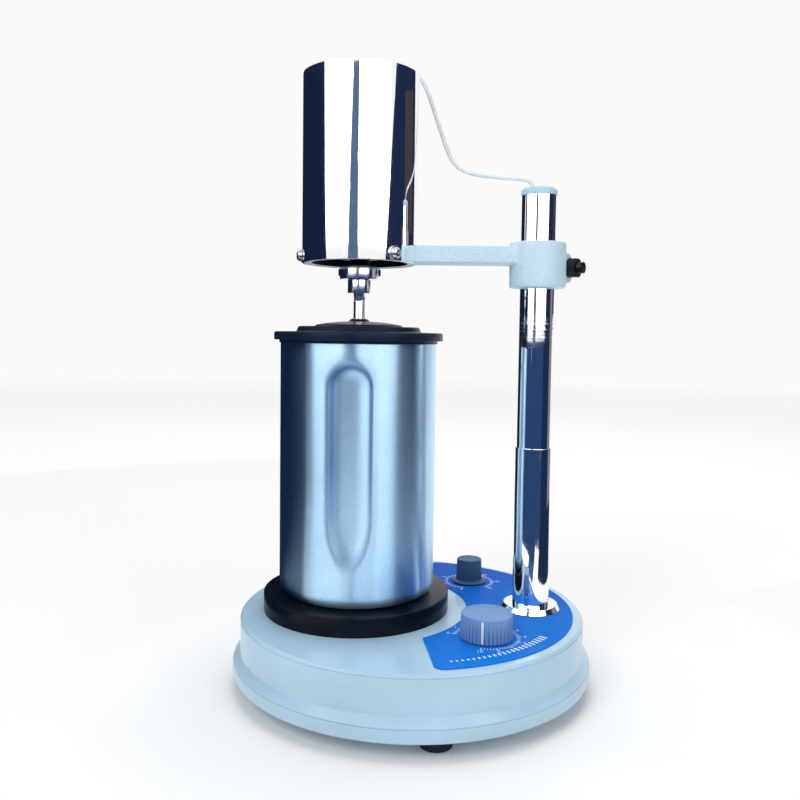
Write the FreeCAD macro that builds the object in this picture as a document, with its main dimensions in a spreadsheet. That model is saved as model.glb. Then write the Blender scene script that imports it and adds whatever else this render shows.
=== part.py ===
import FreeCAD
import Part
import Sketcher
import math
import os
import re

# Tissue homogenizer on a round base, in millimetres.
# +Z is up, +X points from the cup's axis to the post, -Y is the front.
# The origin is the centre of the base on the bench.

SIZES = {
    # Feet and base, from the bench upwards
    "foot_height": 10.0,
    "foot_radius": 11.0,
    "foot_inset": 20.0,
    "foot_angle": 9.0,
    "flange_radius": 125.0,
    "flange_height": 8.7,
    "flange_overhang": 5.0,
    "slope_height": 5.7,
    "wall_height": 22.3,
    "deck_bevel": 1.8,
    "shell_thickness": 4.0,
    "tray_thickness": 3.0,
    "tray_lip_height": 3.0,
    "seam_bevel": 0.4,
    "tie_inset": 20.0,
    "tie_boss_radius": 5.0,
    "tie_angle": 75.0,
    "panel_thickness": 0.8,
    "panel_margin": 7.0,
    "panel_gap": 13.5,
    "panel_edge_x": 8.0,
    "panel_edge_y": 62.0,
    "panel_edge_lean": 8.3,
    "panel_corner": 6.0,
    # Cup seat
    "seat_margin": 10.9,
    "seat_height": 13.0,
    "seat_inset": 15.1,
    "seat_round": 1.0,
    "seat_screw_circle": 40.0,
    "case_screw_length": 12.0,
    # Post
    "post_inset": 35.5,
    "post_radius": 12.0,
    "post_wall": 2.0,
    "post_tail": 12.0,
    "foot_nut_wall": 8.7,
    "foot_nut_height": 4.0,
    "lock_nut_wall": 5.0,
    "lock_nut_height": 6.0,
    "lock_flange_height": 1.6,
    "sleeve_wall": 0.8,
    "sleeve_height": 111.0,
    "cap_overhang": 0.5,
    "cap_height": 5.2,
    "cap_bevel": 1.2,
    "cap_plug_length": 12.0,
    # Cup, lid and blade
    "cup_radius": 54.5,
    "cup_wall": 0.9,
    "cup_height": 176.0,
    "cup_corner": 8.3,
    "flute_width": 31.0,
    "flute_depth": 4.0,
    "flute_start": 27.5,
    "flute_margin": 14.0,
    "lid_overhang": 4.5,
    "lid_flange": 5.6,
    "lid_skirt_width": 0.6,
    "lid_skirt_drop": 1.7,
    "lid_plug_depth": 7.5,
    "lid_plug_width": 4.0,
    "lid_web": 3.5,
    "lid_tier_step": 16.7,
    "lid_tier_height": 3.8,
    "lid_crown_step": 12.3,
    "lid_crown_edge": 1.1,
    "lid_crown_rise": 2.6,
    "lid_hub_wall": 0.9,
    "lid_hub_height": 1.7,
    "bush_wall": 1.0,
    "bush_length": 22.0,
    "bush_stand": 0.5,
    "shaft_radius": 4.0,
    "blade_stub": 7.6,
    "lap_length": 5.0,
    "lap_gap": 0.3,
    "lap_end_gap": 0.5,
    "blade_clearance": 16.0,
    "blade_span": 62.0,
    "blade_width": 13.0,
    "blade_thickness": 1.6,
    "blade_hub_wall": 3.0,
    "blade_hub_height": 8.0,
    "blade_nut_wall": 3.5,
    "blade_nut_height": 5.0,
    # Drive below the motor
    "spindle_shoulder": 2.8,
    "spindle_stub": 2.6,
    "end_collar_wall": 4.2,
    "end_collar_height": 9.6,
    "drive_collar_wall": 9.8,
    "drive_collar_height": 9.7,
    "nose_gap": 0.7,
    "nose_wall": 2.7,
    "nose_drop": 0.8,
    # Arm casting and its clamp
    "arm_thickness": 12.0,
    "arm_width": 24.0,
    "ring_width": 6.7,
    "clamp_wall": 7.5,
    "clamp_drop": 15.8,
    "clamp_rise": 3.5,
    "clamp_bevel": 1.5,
    "clamp_slot": 3.0,
    "ear_angle": 35.0,
    "ear_stand": 6.5,
    "ear_half_width": 10.5,
    "ear_radius": 11.0,
    "lift_travel": 32.5,
    # Motor cover
    "cover_radius": 40.0,
    "cover_wall": 0.8,
    "cover_height": 130.3,
    "cover_round": 2.0,
    "cover_overlap": 0.5,
    "cover_screw_rise": 4.5,
    "cover_screw_angle": 69.5,
    # Motor inside the cover
    "bracket_gap": 4.0,
    "bracket_thickness": 5.0,
    "bearing_ring": 7.0,
    "bearing_height": 7.0,
    "stator_gap": 5.0,
    "stator_height": 36.0,
    "stator_lift": 14.0,
    "air_gap": 0.6,
    "stator_width": 14.0,
    "winding_overhang": 7.0,
    "commutator_wall": 7.0,
    "commutator_height": 12.0,
    "frame_height": 86.0,
    "tie_rod_radius": 2.0,
    "tie_rod_gap": 0.4,
    "fan_gap": 13.0,
    "fan_height": 9.0,
    "brush_length": 14.0,
    # Motor lead
    "lead_radius": 1.5,
    "lead_exit_x": 6.5,
    "lead_exit_y": 20.0,
    "lead_entry": 4.8,
    "grommet_radius": 4.0,
    "grommet_stand": 2.0,
    # Knobs and their controls
    "speed_x": 48.9,
    "timer_x": 44.4,
    "knob_y": 59.5,
    "speed_knob_radius": 17.1,
    "speed_knob_taper": 0.6,
    "speed_knob_height": 15.5,
    "speed_knob_ribs": 40,
    "timer_knob_radius": 10.0,
    "timer_knob_taper": 0.5,
    "timer_knob_height": 16.2,
    "timer_knob_ribs": 28,
    "timer_skirt_width": 3.4,
    "timer_skirt_height": 1.4,
    "knob_lift": 0.7,
    "control_shaft_radius": 3.0,
    "control_bushing_wall": 1.7,
    "control_nut_height": 2.2,
    "control_nut_wall": 1.9,
    # Electrics in the base
    "board_length": 92.0,
    "board_width": 66.0,
    "board_thickness": 1.6,
    "standoff_height": 7.0,
    "standoff_radius": 3.2,
    "board_screw_inset": 5.0,
    "gland_radius": 7.5,
    "inlet_height": 34.5,
    "gland_angle": 116.0,
    "fuse_angle": 96.0,
    # Fits
    "running_fit": 0.05,
    "slip_fit": 0.3,
    "screw_fit": 0.2,
}

LEVELS = {
    "wall_radius": "flange_radius - flange_overhang",
    "seat_radius": "cup_radius + seat_margin",
    "cup_x": "-(wall_radius - seat_inset - seat_radius)",
    "post_x": "wall_radius - post_inset",
    "tray_floor": "foot_height + tray_thickness",
    "seam_level": "foot_height + flange_height",
    "wall_foot": "seam_level + slope_height",
    "deck_level": "wall_foot + wall_height + deck_bevel",
    "deck_underside": "deck_level - shell_thickness",
    "panel_level": "deck_level + panel_thickness",
    "seat_level": "deck_level + seat_height",
    "foot_nut_level": "panel_level + foot_nut_height",
    "post_bottom": "deck_underside - post_tail",
    "sleeve_level": "foot_nut_level + sleeve_height",
    "rim_level": "seat_level + cup_height",
    "flute_length": "cup_height - flute_start - flute_margin",
    "lid_under": "rim_level + slip_fit",
    "lid_level": "lid_under + lid_flange",
    "tier_level": "lid_level + lid_tier_height",
    "crown_level": "tier_level + lid_crown_edge + lid_crown_rise",
    "hub_level": "crown_level + lid_hub_height",
    "blade_shoulder": "hub_level + blade_stub",
    "tang_level": "blade_shoulder + lap_length",
    "spindle_tip": "blade_shoulder + lap_end_gap",
    "spindle_flat": "tang_level + spindle_shoulder",
    "end_collar_level": "spindle_flat + spindle_stub",
    "drive_collar_level": "end_collar_level + end_collar_height",
    "nose_level": "drive_collar_level + drive_collar_height + nose_gap",
    "arm_level": "nose_level + nose_drop",
    "arm_top": "arm_level + arm_thickness",
    "clamp_level": "arm_level - clamp_drop",
    "clamp_top": "arm_top + clamp_rise",
    "clamp_middle": "(clamp_level + clamp_top) / 2 - 0.3",
    "post_top": "clamp_top + lift_travel",
    "cap_top": "post_top + cap_height",
    "cover_level": "arm_level - cover_overlap",
    "cover_top": "cover_level + cover_height",
    "bracket_top": "arm_top + bracket_thickness",
    "stator_level": "arm_top + stator_lift",
    "stator_top": "stator_level + stator_height",
    "upper_bracket": "arm_top + frame_height",
    "upper_bracket_top": "upper_bracket + bracket_thickness",
    "shaft_top": "upper_bracket_top + fan_height + 6",
    "commutator_level": "stator_top + winding_overhang + 4",
    "grommet_top": "cover_top + grommet_stand",
    "board_level": "tray_floor + standoff_height",
    "foot_nut_radius": "post_radius + foot_nut_wall",
    "lock_nut_radius": "post_radius + lock_nut_wall",
    "sleeve_radius": "post_radius + sleeve_wall",
    "cap_radius": "post_radius + cap_overhang",
    "clamp_radius": "post_radius + clamp_wall",
    "ear_reach": "clamp_radius + ear_stand",
    "lid_radius": "cup_radius + lid_overhang",
    "lid_tier_radius": "lid_radius - lid_tier_step",
    "lid_crown_radius": "lid_tier_radius - lid_crown_step",
    "bush_radius": "shaft_radius + bush_wall",
    "lid_hub_radius": "bush_radius + lid_hub_wall",
    "blade_hub_radius": "shaft_radius + blade_hub_wall",
    "blade_nut_radius": "shaft_radius + blade_nut_wall",
    "end_collar_radius": "shaft_radius + end_collar_wall",
    "drive_collar_radius": "shaft_radius + drive_collar_wall",
    "nose_radius": "shaft_radius + nose_wall",
    "bearing_radius": "shaft_radius + bearing_ring",
    "commutator_radius": "shaft_radius + commutator_wall",
    "ring_opening": "cover_radius - ring_width",
    "bracket_radius": "cover_radius - bracket_gap",
    "stator_radius": "bracket_radius - stator_gap",
    "rotor_radius": "stator_radius - stator_width",
    "tie_rod_circle": "stator_radius + tie_rod_radius + tie_rod_gap",
    "fan_radius": "cover_radius - fan_gap",
    "control_bushing_radius": "control_shaft_radius + control_bushing_wall",
    "control_nut_radius": "control_bushing_radius + control_nut_wall",
    "timer_skirt_radius": "timer_knob_radius + timer_skirt_width",
}

# The lead's corners after its start on the cover and before its end on the cap
LEAD_CORNERS = [
    (-33.0, 20.0, 428.6),
    (-30.4, 20.2, 433.2),
    (-25.9, 20.5, 436.0),
    (-20.0, 21.0, 436.4),
    (-13.5, 21.5, 434.8),
    (-7.0, 22.0, 432.2),
    (-1.2, 22.4, 428.0),
    (3.9, 22.6, 421.8),
    (7.4, 22.6, 413.6),
    (10.7, 22.2, 404.0),
    (14.7, 21.0, 392.0),
    (20.0, 19.3, 376.5),
    (26.0, 17.5, 363.0),
    (38.0, 13.5, 356.2),
    (53.5, 8.2, 353.6),
    (70.0, 2.5, 351.4),
    (79.7, 0.0, 349.6),
]

doc = FreeCAD.newDocument("tissue_homogenizer")
sheet = doc.addObject("Spreadsheet::Sheet", "dims")
nodes = []

UP = FreeCAD.Vector(0, 0, 1)


def fill_sheet():
    """Write the driving sizes, and the levels worked out from them."""
    row = 0
    for name, number in SIZES.items():
        row += 1
        sheet.set("A%d" % row, name)
        sheet.set("B%d" % row, str(number))
        sheet.setAlias("B%d" % row, name)
    for name, formula in LEVELS.items():
        row += 1
        sheet.set("A%d" % row, name)
        sheet.set("B%d" % row, "=" + formula)
        sheet.setAlias("B%d" % row, name)
    doc.recompute()


def bound(text):
    """The expression with each size's name pointed at its cell."""
    def point(match):
        word = match.group(0)
        return "dims." + word if word in SIZES or word in LEVELS else word
    return re.sub(r"[a-z_]+", point, str(text))


def number(text):
    """The present value of an expression."""
    return float(sheet.evalExpression(bound(text)))


def bind(item, property_name, text):
    item.setExpression(property_name, bound(text))


def place(item, x="0", y="0", z="0", turn=None):
    """Put an object at a bound position, turned by a fixed rotation."""
    if turn is not None:
        item.Placement = FreeCAD.Placement(FreeCAD.Vector(), turn)
    for axis, text in zip("xyz", (x, y, z)):
        bind(item, "Placement.Base." + axis, text)
    return item


def node(item, label):
    """Name an object as a sub-part that is written out."""
    item.Label = label
    nodes.append(item)
    return item


def toward(azimuth):
    """The rotation that lays a piece's own Z along a level azimuth in degrees."""
    angle = math.radians(azimuth)
    return FreeCAD.Rotation(UP, FreeCAD.Vector(math.cos(angle), math.sin(angle), 0))


def cylinder(name, radius, height, x="0", y="0", z="0", turn=None):
    item = doc.addObject("Part::Cylinder", name)
    bind(item, "Radius", radius)
    bind(item, "Height", height)
    return place(item, x, y, z, turn)


def cone(name, lower, upper, height, x="0", y="0", z="0", turn=None):
    item = doc.addObject("Part::Cone", name)
    bind(item, "Radius1", lower)
    bind(item, "Radius2", upper)
    bind(item, "Height", height)
    return place(item, x, y, z, turn)


def box(name, length, width, height, x="0", y="0", z="0", turn=None):
    item = doc.addObject("Part::Box", name)
    bind(item, "Length", length)
    bind(item, "Width", width)
    bind(item, "Height", height)
    return place(item, x, y, z, turn)


def hexagon(name, circumradius, height, x="0", y="0", z="0", turn=None):
    item = doc.addObject("Part::Prism", name)
    item.Polygon = 6
    bind(item, "Circumradius", circumradius)
    bind(item, "Height", height)
    return place(item, x, y, z, turn)


def cut(name, base, tool):
    item = doc.addObject("Part::Cut", name)
    item.Base = base
    item.Tool = tool
    return item


def fuse(name, pieces):
    item = doc.addObject("Part::MultiFuse", name)
    item.Shapes = pieces
    item.Refine = True
    return item


def common(name, pieces):
    item = doc.addObject("Part::MultiCommon", name)
    item.Shapes = pieces
    return item


def group(name, pieces):
    item = doc.addObject("Part::Compound", name)
    item.Links = pieces
    return item


def ring(name, outer, inner, height, x="0", y="0", z="0", turn=None):
    """A flat ring, or a tube, from its two radii."""
    body = cylinder(name + "_outside", outer, height)
    hole = cylinder(name + "_bore", inner, height)
    item = cut(name, body, hole)
    return place(item, x, y, z, turn)


def origin_plane(body, role):
    for item in body.Origin.OriginFeatures:
        if item.Role == role:
            return item
    raise ValueError(role)


def outline_sketch(body, name, role, outline):
    """A closed, fully constrained outline of straight edges on one of the body's own planes."""
    sketch = body.newObject("Sketcher::SketchObject", name)
    sketch.AttachmentSupport = (origin_plane(body, role), [""])
    sketch.MapMode = "FlatFace"
    corners = [FreeCAD.Vector(number(a), number(b), 0) for a, b in outline]
    count = len(corners)
    for index in range(count):
        following = corners[(index + 1) % count]
        sketch.addGeometry(Part.LineSegment(corners[index], following), False)
    for index in range(count):
        sketch.addConstraint(Sketcher.Constraint("Coincident", index, 2, (index + 1) % count, 1))
    for index, (across, along) in enumerate(outline):
        for kind, text, start in (
            ("DistanceX", across, corners[index].x),
            ("DistanceY", along, corners[index].y),
        ):
            at = sketch.addConstraint(Sketcher.Constraint(kind, -1, 1, index, 1, start))
            sketch.setExpression("Constraints[%d]" % at, bound(text))
    return sketch


def circle_sketch(body, name, role, circles):
    """Bound circles, each as (across, along, radius), on one of the body's own planes."""
    sketch = body.newObject("Sketcher::SketchObject", name)
    sketch.AttachmentSupport = (origin_plane(body, role), [""])
    sketch.MapMode = "FlatFace"
    for index, (across, along, radius) in enumerate(circles):
        centre = FreeCAD.Vector(number(across), number(along), 0)
        sketch.addGeometry(Part.Circle(centre, UP, number(radius)), False)
        for kind, text, start in (("DistanceX", across, centre.x), ("DistanceY", along, centre.y)):
            at = sketch.addConstraint(Sketcher.Constraint(kind, -1, 1, index, 3, start))
            sketch.setExpression("Constraints[%d]" % at, bound(text))
        at = sketch.addConstraint(Sketcher.Constraint("Radius", index, number(radius)))
        sketch.setExpression("Constraints[%d]" % at, bound(radius))
    return sketch


def lathe(name, outline, x="0", y="0", z="0"):
    """A body turned about its own Z from an outline of (radius, height) points."""
    body = doc.addObject("PartDesign::Body", name)
    sketch = outline_sketch(body, name + "_profile", "XZ_Plane", outline)
    turned = body.newObject("PartDesign::Revolution", name + "_turned")
    turned.Profile = sketch
    turned.ReferenceAxis = (sketch, ["V_Axis"])
    turned.Angle = 360
    sketch.Visibility = False
    place(body, x, y, z)
    doc.recompute()
    return body


def drill(body, name, circles, role="XY_Plane"):
    """Cut round holes right through a body, along the normal of one of its planes."""
    sketch = circle_sketch(body, name + "_circles", role, circles)
    pocket = body.newObject("PartDesign::Pocket", name)
    pocket.Profile = sketch
    pocket.Type = "ThroughAll"
    pocket.Midplane = True
    sketch.Visibility = False
    doc.recompute()
    return pocket


def round_rims(body, name, radius, rims):
    """Round the circular edges of a turned body that lie at the given (radius, height)."""
    base = body.Tip
    chosen = []
    for index, edge in enumerate(base.Shape.Edges):
        curve = edge.Curve
        if not isinstance(curve, Part.Circle):
            continue
        if abs(curve.Center.x) > 0.01 or abs(curve.Center.y) > 0.01:
            continue
        for rim_radius, rim_height in rims:
            same_radius = abs(curve.Radius - number(rim_radius)) < 0.02
            same_height = abs(curve.Center.z - number(rim_height)) < 0.02
            if same_radius and same_height:
                chosen.append("Edge%d" % (index + 1))
    fillet = body.newObject("PartDesign::Fillet", name)
    fillet.Base = (base, chosen)
    bind(fillet, "Radius", radius)
    body.Tip = fillet
    doc.recompute()
    return fillet


def around(count, first, step=None):
    """Azimuth expressions for pieces spaced evenly round a circle."""
    pitch = 360.0 / count if step is None else step
    return ["(%s + %g)" % (first, pitch * index) for index in range(count)]


def polar(circle, azimuth, x="0", y="0"):
    """The (x, y) expressions of a place on a circle."""
    return "%s + (%s) * cos(%s)" % (x, circle, azimuth), "%s + (%s) * sin(%s)" % (y, circle, azimuth)


def screw(name, head_radius, head_height, shank_radius, length, x, y, z, turn=None):
    """A round-headed screw: its head stands on its own +Z side of the given point."""
    head = cylinder(name + "_head", head_radius, head_height)
    shank = cylinder(name + "_shank", shank_radius, length, z="-(%s)" % length)
    return place(fuse(name, [head, shank]), x, y, z, turn)


def hex_nut(name, circumradius, bore, height, x="0", y="0", z="0", turn=None):
    body = hexagon(name + "_hexagon", circumradius, height)
    hole = cylinder(name + "_thread", bore, height)
    return place(cut(name, body, hole), x, y, z, turn)


def make_bottom_tray():
    """The flanged tray that closes the base from below."""
    inside = "wall_radius - shell_thickness - screw_fit"
    lip = inside + " - tray_thickness"
    lip_top = "seam_level + tray_lip_height"
    tray = lathe("bottom_tray", [
        ("0", "foot_height"),
        ("flange_radius", "foot_height"),
        ("flange_radius", "seam_level - seam_bevel"),
        ("flange_radius - seam_bevel", "seam_level"),
        (inside, "seam_level"),
        (inside, lip_top),
        (lip, lip_top),
        (lip, "tray_floor"),
        ("0", "tray_floor"),
    ])
    holes = []
    for azimuth in around(4, "foot_angle"):
        holes.append(polar("flange_radius - foot_inset", azimuth) + ("2 + screw_fit",))
    for azimuth in around(4, "tie_angle"):
        holes.append(polar("wall_radius - tie_inset", azimuth) + ("2 + screw_fit",))
    drill(tray, "tray_holes", holes)
    node(tray, "bottom_tray")


def make_base_shell():
    """The hollow upper half of the base, with its screw pillars and its holes."""
    inside = "wall_radius - shell_thickness"
    turned = lathe("shell_turned", [
        ("0", "deck_level"),
        ("wall_radius - deck_bevel", "deck_level"),
        ("wall_radius", "deck_level - deck_bevel"),
        ("wall_radius", "wall_foot"),
        ("flange_radius - seam_bevel", "seam_level"),
        (inside, "seam_level"),
        (inside, "deck_underside"),
        ("0", "deck_underside"),
    ])
    drill(turned, "deck_holes", [
        ("post_x", "0", "post_radius"),
        ("speed_x", "-knob_y", "control_bushing_radius"),
        ("timer_x", "knob_y", "control_bushing_radius"),
    ])
    pillars = []
    pilots = []
    for index, azimuth in enumerate(around(4, "tie_angle")):
        x, y = polar("wall_radius - tie_inset", azimuth)
        depth = "deck_underside - tray_floor"
        pillars.append(cylinder("pillar_%d" % index, "tie_boss_radius", depth, x, y, "tray_floor"))
        pilots.append(cylinder("pilot_%d" % index, "2", "case_screw_length", x, y, "tray_floor"))
    for index, azimuth in enumerate(around(3, "60")):
        x, y = polar("seat_screw_circle", azimuth, "cup_x")
        pilots.append(cylinder("seat_hole_%d" % index, "2 + screw_fit", "shell_thickness",
                               x, y, "deck_underside"))
    for name, azimuth, radius in (("gland", "gland_angle", "6"), ("fuse", "fuse_angle", "6")):
        x, y = polar("wall_radius - 2 * shell_thickness", azimuth)
        hole = cylinder(name + "_hole", radius, "3 * shell_thickness", x, y, "inlet_height",
                        toward(number(azimuth)))
        pilots.append(hole)
    body = fuse("shell_with_pillars", [turned] + pillars)
    node(cut("base_shell", body, group("shell_holes", pilots)), "base_shell")


def make_feet():
    """Rubber feet under the tray, with their screws and nuts."""
    feet = []
    screws = []
    nuts = []
    for index, azimuth in enumerate(around(4, "foot_angle")):
        x, y = polar("flange_radius - foot_inset", azimuth)
        pad = cone("foot_pad_%d" % index, "foot_radius - 1", "foot_radius", "foot_height")
        well = cylinder("foot_well_%d" % index, "4.5", "5")
        bore = cylinder("foot_bore_%d" % index, "2 + screw_fit", "foot_height")
        tool = group("foot_hollow_%d" % index, [well, bore])
        feet.append(place(cut("foot_%d" % index, pad, tool), x, y))
        over = FreeCAD.Rotation(FreeCAD.Vector(1, 0, 0), 180)
        screws.append(screw("foot_screw_%d" % index, "3.8", "2.6", "2",
                            "foot_height + tray_thickness + 4.2 - 5", x, y, "5", over))
        nuts.append(hex_nut("foot_nut_%d" % index, "4.04", "2", "3.2", x, y, "tray_floor"))
    node(group("rubber_feet", feet), "rubber_feet")
    node(group("foot_screws", screws), "foot_screws")
    node(group("foot_nuts", nuts), "foot_nuts")


def make_case_screws():
    """The like screws that hold the tray to the shell's pillars and the seat to the deck."""
    screws = []
    over = FreeCAD.Rotation(FreeCAD.Vector(1, 0, 0), 180)
    for index, azimuth in enumerate(around(4, "tie_angle")):
        x, y = polar("wall_radius - tie_inset", azimuth)
        screws.append(screw("tie_screw_%d" % index, "3.8", "2.6", "2", "case_screw_length",
                            x, y, "foot_height", over))
    for index, azimuth in enumerate(around(3, "60")):
        x, y = polar("seat_screw_circle", azimuth, "cup_x")
        screws.append(screw("seat_screw_%d" % index, "3.8", "2.6", "2", "case_screw_length",
                            x, y, "deck_underside", over))
    node(group("case_screws", screws), "case_screws")


def make_control_panel():
    """The thin panel round the post, cut clear of the cup seat."""
    disc = cylinder("panel_disc", "wall_radius - panel_margin", "panel_thickness", z="deck_level")
    clearing = cylinder("panel_clearing", "seat_radius + panel_gap", "panel_thickness",
                        "cup_x", "0", "deck_level")
    post_hole = cylinder("panel_post_hole", "post_radius", "panel_thickness",
                         "post_x", "0", "deck_level")
    tools = [clearing, post_hole]
    for name, x, y in (("speed", "speed_x", "-knob_y"), ("timer", "timer_x", "knob_y")):
        tools.append(cylinder("panel_%s_hole" % name, "control_bushing_radius", "panel_thickness",
                              x, y, "deck_level"))
    reach = 2 * number("flange_radius")
    lean = number("panel_edge_lean")
    front = box("panel_front_edge", reach, reach, "panel_thickness",
                "panel_edge_x - %g * cos(panel_edge_lean) + %g * sin(panel_edge_lean)" % (reach, reach),
                "-panel_edge_y - %g * sin(panel_edge_lean) - %g * cos(panel_edge_lean)" % (reach, reach),
                "deck_level", FreeCAD.Rotation(UP, lean))
    rear = box("panel_rear_edge", reach, reach, "panel_thickness",
               "panel_edge_x - %g * cos(panel_edge_lean)" % reach,
               "panel_edge_y + %g * sin(panel_edge_lean)" % reach,
               "deck_level", FreeCAD.Rotation(UP, -lean))
    left = box("panel_left_side", reach, 2 * reach, "panel_thickness",
               "cup_x - %g" % reach, "-%g" % reach, "deck_level")
    plate = cut("panel_plate", disc, group("panel_cuts", tools + [front, rear, left]))
    doc.recompute()
    rounded = doc.addObject("Part::Fillet", "control_panel")
    rounded.Base = plate
    edges = []
    for index, edge in enumerate(plate.Shape.Edges):
        middle = edge.CenterOfMass
        upright = abs(edge.Length - number("panel_thickness")) < 0.01
        outer = math.hypot(middle.x, middle.y) > number("wall_radius - panel_margin") - 0.1
        if upright and outer:
            edges.append((index + 1, number("panel_corner"), number("panel_corner")))
    rounded.Edges = edges
    node(rounded, "control_panel")


def make_cup_seat():
    """The black disc that carries the cup."""
    seat = lathe("cup_seat", [
        ("0", "deck_level"),
        ("seat_radius", "deck_level"),
        ("seat_radius", "seat_level"),
        ("0", "seat_level"),
    ], x="cup_x")
    round_rims(seat, "seat_edge", "seat_round", [("seat_radius", "seat_level")])
    circles = []
    for azimuth in around(3, "60"):
        circles.append(polar("seat_screw_circle", azimuth) + ("2",))
    sketch = circle_sketch(seat, "seat_pilots", "XY_Plane", circles)
    bottom = FreeCAD.Vector(0, 0, number("deck_level"))
    sketch.AttachmentOffset = FreeCAD.Placement(bottom, FreeCAD.Rotation())
    bind(sketch, "AttachmentOffset.Base.z", "deck_level")
    pocket = seat.newObject("PartDesign::Pocket", "seat_pilot_holes")
    pocket.Profile = sketch
    pocket.Reversed = True
    bind(pocket, "Length", "case_screw_length - shell_thickness")
    sketch.Visibility = False
    node(seat, "cup_seat")


def make_post():
    """The chromed post with its nuts and the stop sleeve."""
    tube = ring("post", "post_radius", "post_radius - post_wall", "post_top - post_bottom",
                "post_x", "0", "post_bottom")
    node(tube, "post")
    nut = lathe("post_foot_nut", [
        ("post_radius", "panel_level"),
        ("foot_nut_radius", "panel_level"),
        ("foot_nut_radius", "foot_nut_level - 1.2"),
        ("foot_nut_radius - 1.6", "foot_nut_level"),
        ("post_radius", "foot_nut_level"),
    ], x="post_x")
    node(nut, "post_foot_nut")
    flange = ring("lock_nut_flange", "lock_nut_radius + 1", "post_radius", "lock_flange_height",
                  "post_x", "0", "deck_underside - lock_flange_height")
    body = hex_nut("lock_nut_body", "lock_nut_radius", "post_radius", "lock_nut_height", "post_x", "0",
                   "deck_underside - lock_flange_height - lock_nut_height")
    node(fuse("post_lock_nut", [flange, body]), "post_lock_nut")
    node(ring("post_sleeve", "sleeve_radius", "post_radius", "sleeve_height",
              "post_x", "0", "foot_nut_level"), "post_sleeve")


def make_post_cap():
    """The plastic cap, whose plug turns in the top of the post."""
    plug = "post_radius - post_wall - running_fit"
    cap = lathe("post_cap", [
        ("0", "post_top - cap_plug_length"),
        (plug, "post_top - cap_plug_length"),
        (plug, "post_top"),
        ("cap_radius", "post_top"),
        ("cap_radius", "cap_top - 2 * cap_bevel"),
        ("cap_radius - cap_bevel", "cap_top - cap_bevel / 2"),
        ("cap_radius - 2 * cap_bevel", "cap_top"),
        ("0", "cap_top"),
    ], x="post_x")
    node(cap, "post_cap")


def stadium(name, half_width, azimuth, inner):
    """A round-ended bar that lies radially at the cup's side, from an inner radius outwards."""
    turn = toward(azimuth)
    reach = "cup_radius + 6 - (%s)" % inner
    x, y = polar(inner, "%g" % azimuth)
    low = "seat_level + flute_start + flute_width / 2"
    high = "seat_level + flute_start + flute_length - flute_width / 2"
    ends = [
        cylinder(name + "_low", half_width, reach, x, y, low, turn),
        cylinder(name + "_high", half_width, reach, x, y, high, turn),
    ]
    side_x = "%s + (%s) * cos(%g - 90)" % (x, half_width, azimuth)
    side_y = "%s + (%s) * sin(%g - 90)" % (y, half_width, azimuth)
    bar = box(name + "_bar", reach, "2 * (%s)" % half_width, "flute_length - flute_width",
              side_x, side_y, low, FreeCAD.Rotation(UP, azimuth))
    return fuse(name, ends + [bar])


def make_cup():
    """The steel cup, with three long flutes pressed in from outside."""
    wall = lathe("cup_wall_turned", [
        ("0", "seat_level"),
        ("cup_radius", "seat_level"),
        ("cup_radius", "rim_level"),
        ("cup_radius - cup_wall", "rim_level"),
        ("cup_radius - cup_wall", "seat_level + cup_wall"),
        ("0", "seat_level + cup_wall"),
    ])
    round_rims(wall, "cup_outer_corner", "cup_corner", [("cup_radius", "seat_level")])
    round_rims(wall, "cup_inner_corner", "cup_corner - cup_wall",
               [("cup_radius - cup_wall", "seat_level + cup_wall")])
    inside = cylinder("cup_flute_limit", "cup_radius - cup_wall / 2", "cup_height", z="seat_level")
    bumps = []
    grooves = []
    for index, azimuth in enumerate((-90, 30, 150)):
        floor = "cup_radius - flute_depth"
        outer = stadium("flute_skin_%d" % index, "flute_width / 2 + cup_wall", azimuth,
                        floor + " - cup_wall")
        bumps.append(common("flute_bump_%d" % index, [outer, inside]))
        grooves.append(stadium("flute_%d" % index, "flute_width / 2", azimuth, floor))
    body = fuse("cup_with_bumps", [wall] + bumps)
    node(place(cut("mixing_cup", body, group("cup_grooves", grooves)), "cup_x"), "mixing_cup")


def make_lid():
    """The stepped lid that plugs the cup, with the bush that guides the blade shaft."""
    plug = "cup_radius - cup_wall - slip_fit"
    skirt = "cup_radius + slip_fit"
    crown = "tier_level + lid_crown_edge"
    web = "rim_level - lid_web"
    lid = lathe("cup_lid", [
        ("bush_radius", web),
        (plug + " - lid_plug_width", web),
        (plug + " - lid_plug_width", "rim_level - lid_plug_depth"),
        (plug, "rim_level - lid_plug_depth"),
        (plug, "rim_level"),
        (skirt, "rim_level"),
        (skirt, "rim_level - lid_skirt_drop"),
        (skirt + " + lid_skirt_width", "rim_level - lid_skirt_drop"),
        (skirt + " + lid_skirt_width", "lid_under"),
        ("lid_radius", "lid_under"),
        ("lid_radius", "lid_level"),
        ("lid_tier_radius", "lid_level"),
        ("lid_tier_radius", "tier_level"),
        ("lid_crown_radius", "tier_level"),
        ("lid_crown_radius", crown),
        ("lid_hub_radius + lid_hub_height", "crown_level"),
        ("lid_hub_radius", "hub_level"),
        ("bush_radius", "hub_level"),
    ], x="cup_x")
    round_rims(lid, "lid_edges", "1.2", [
        ("lid_radius", "lid_level"),
        ("lid_tier_radius", "tier_level"),
    ])
    node(lid, "cup_lid")
    bush = ring("lid_bush", "bush_radius", "shaft_radius + running_fit", "bush_length",
                "cup_x", "0", "hub_level + bush_stand - bush_length")
    node(bush, "lid_bush")


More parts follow.
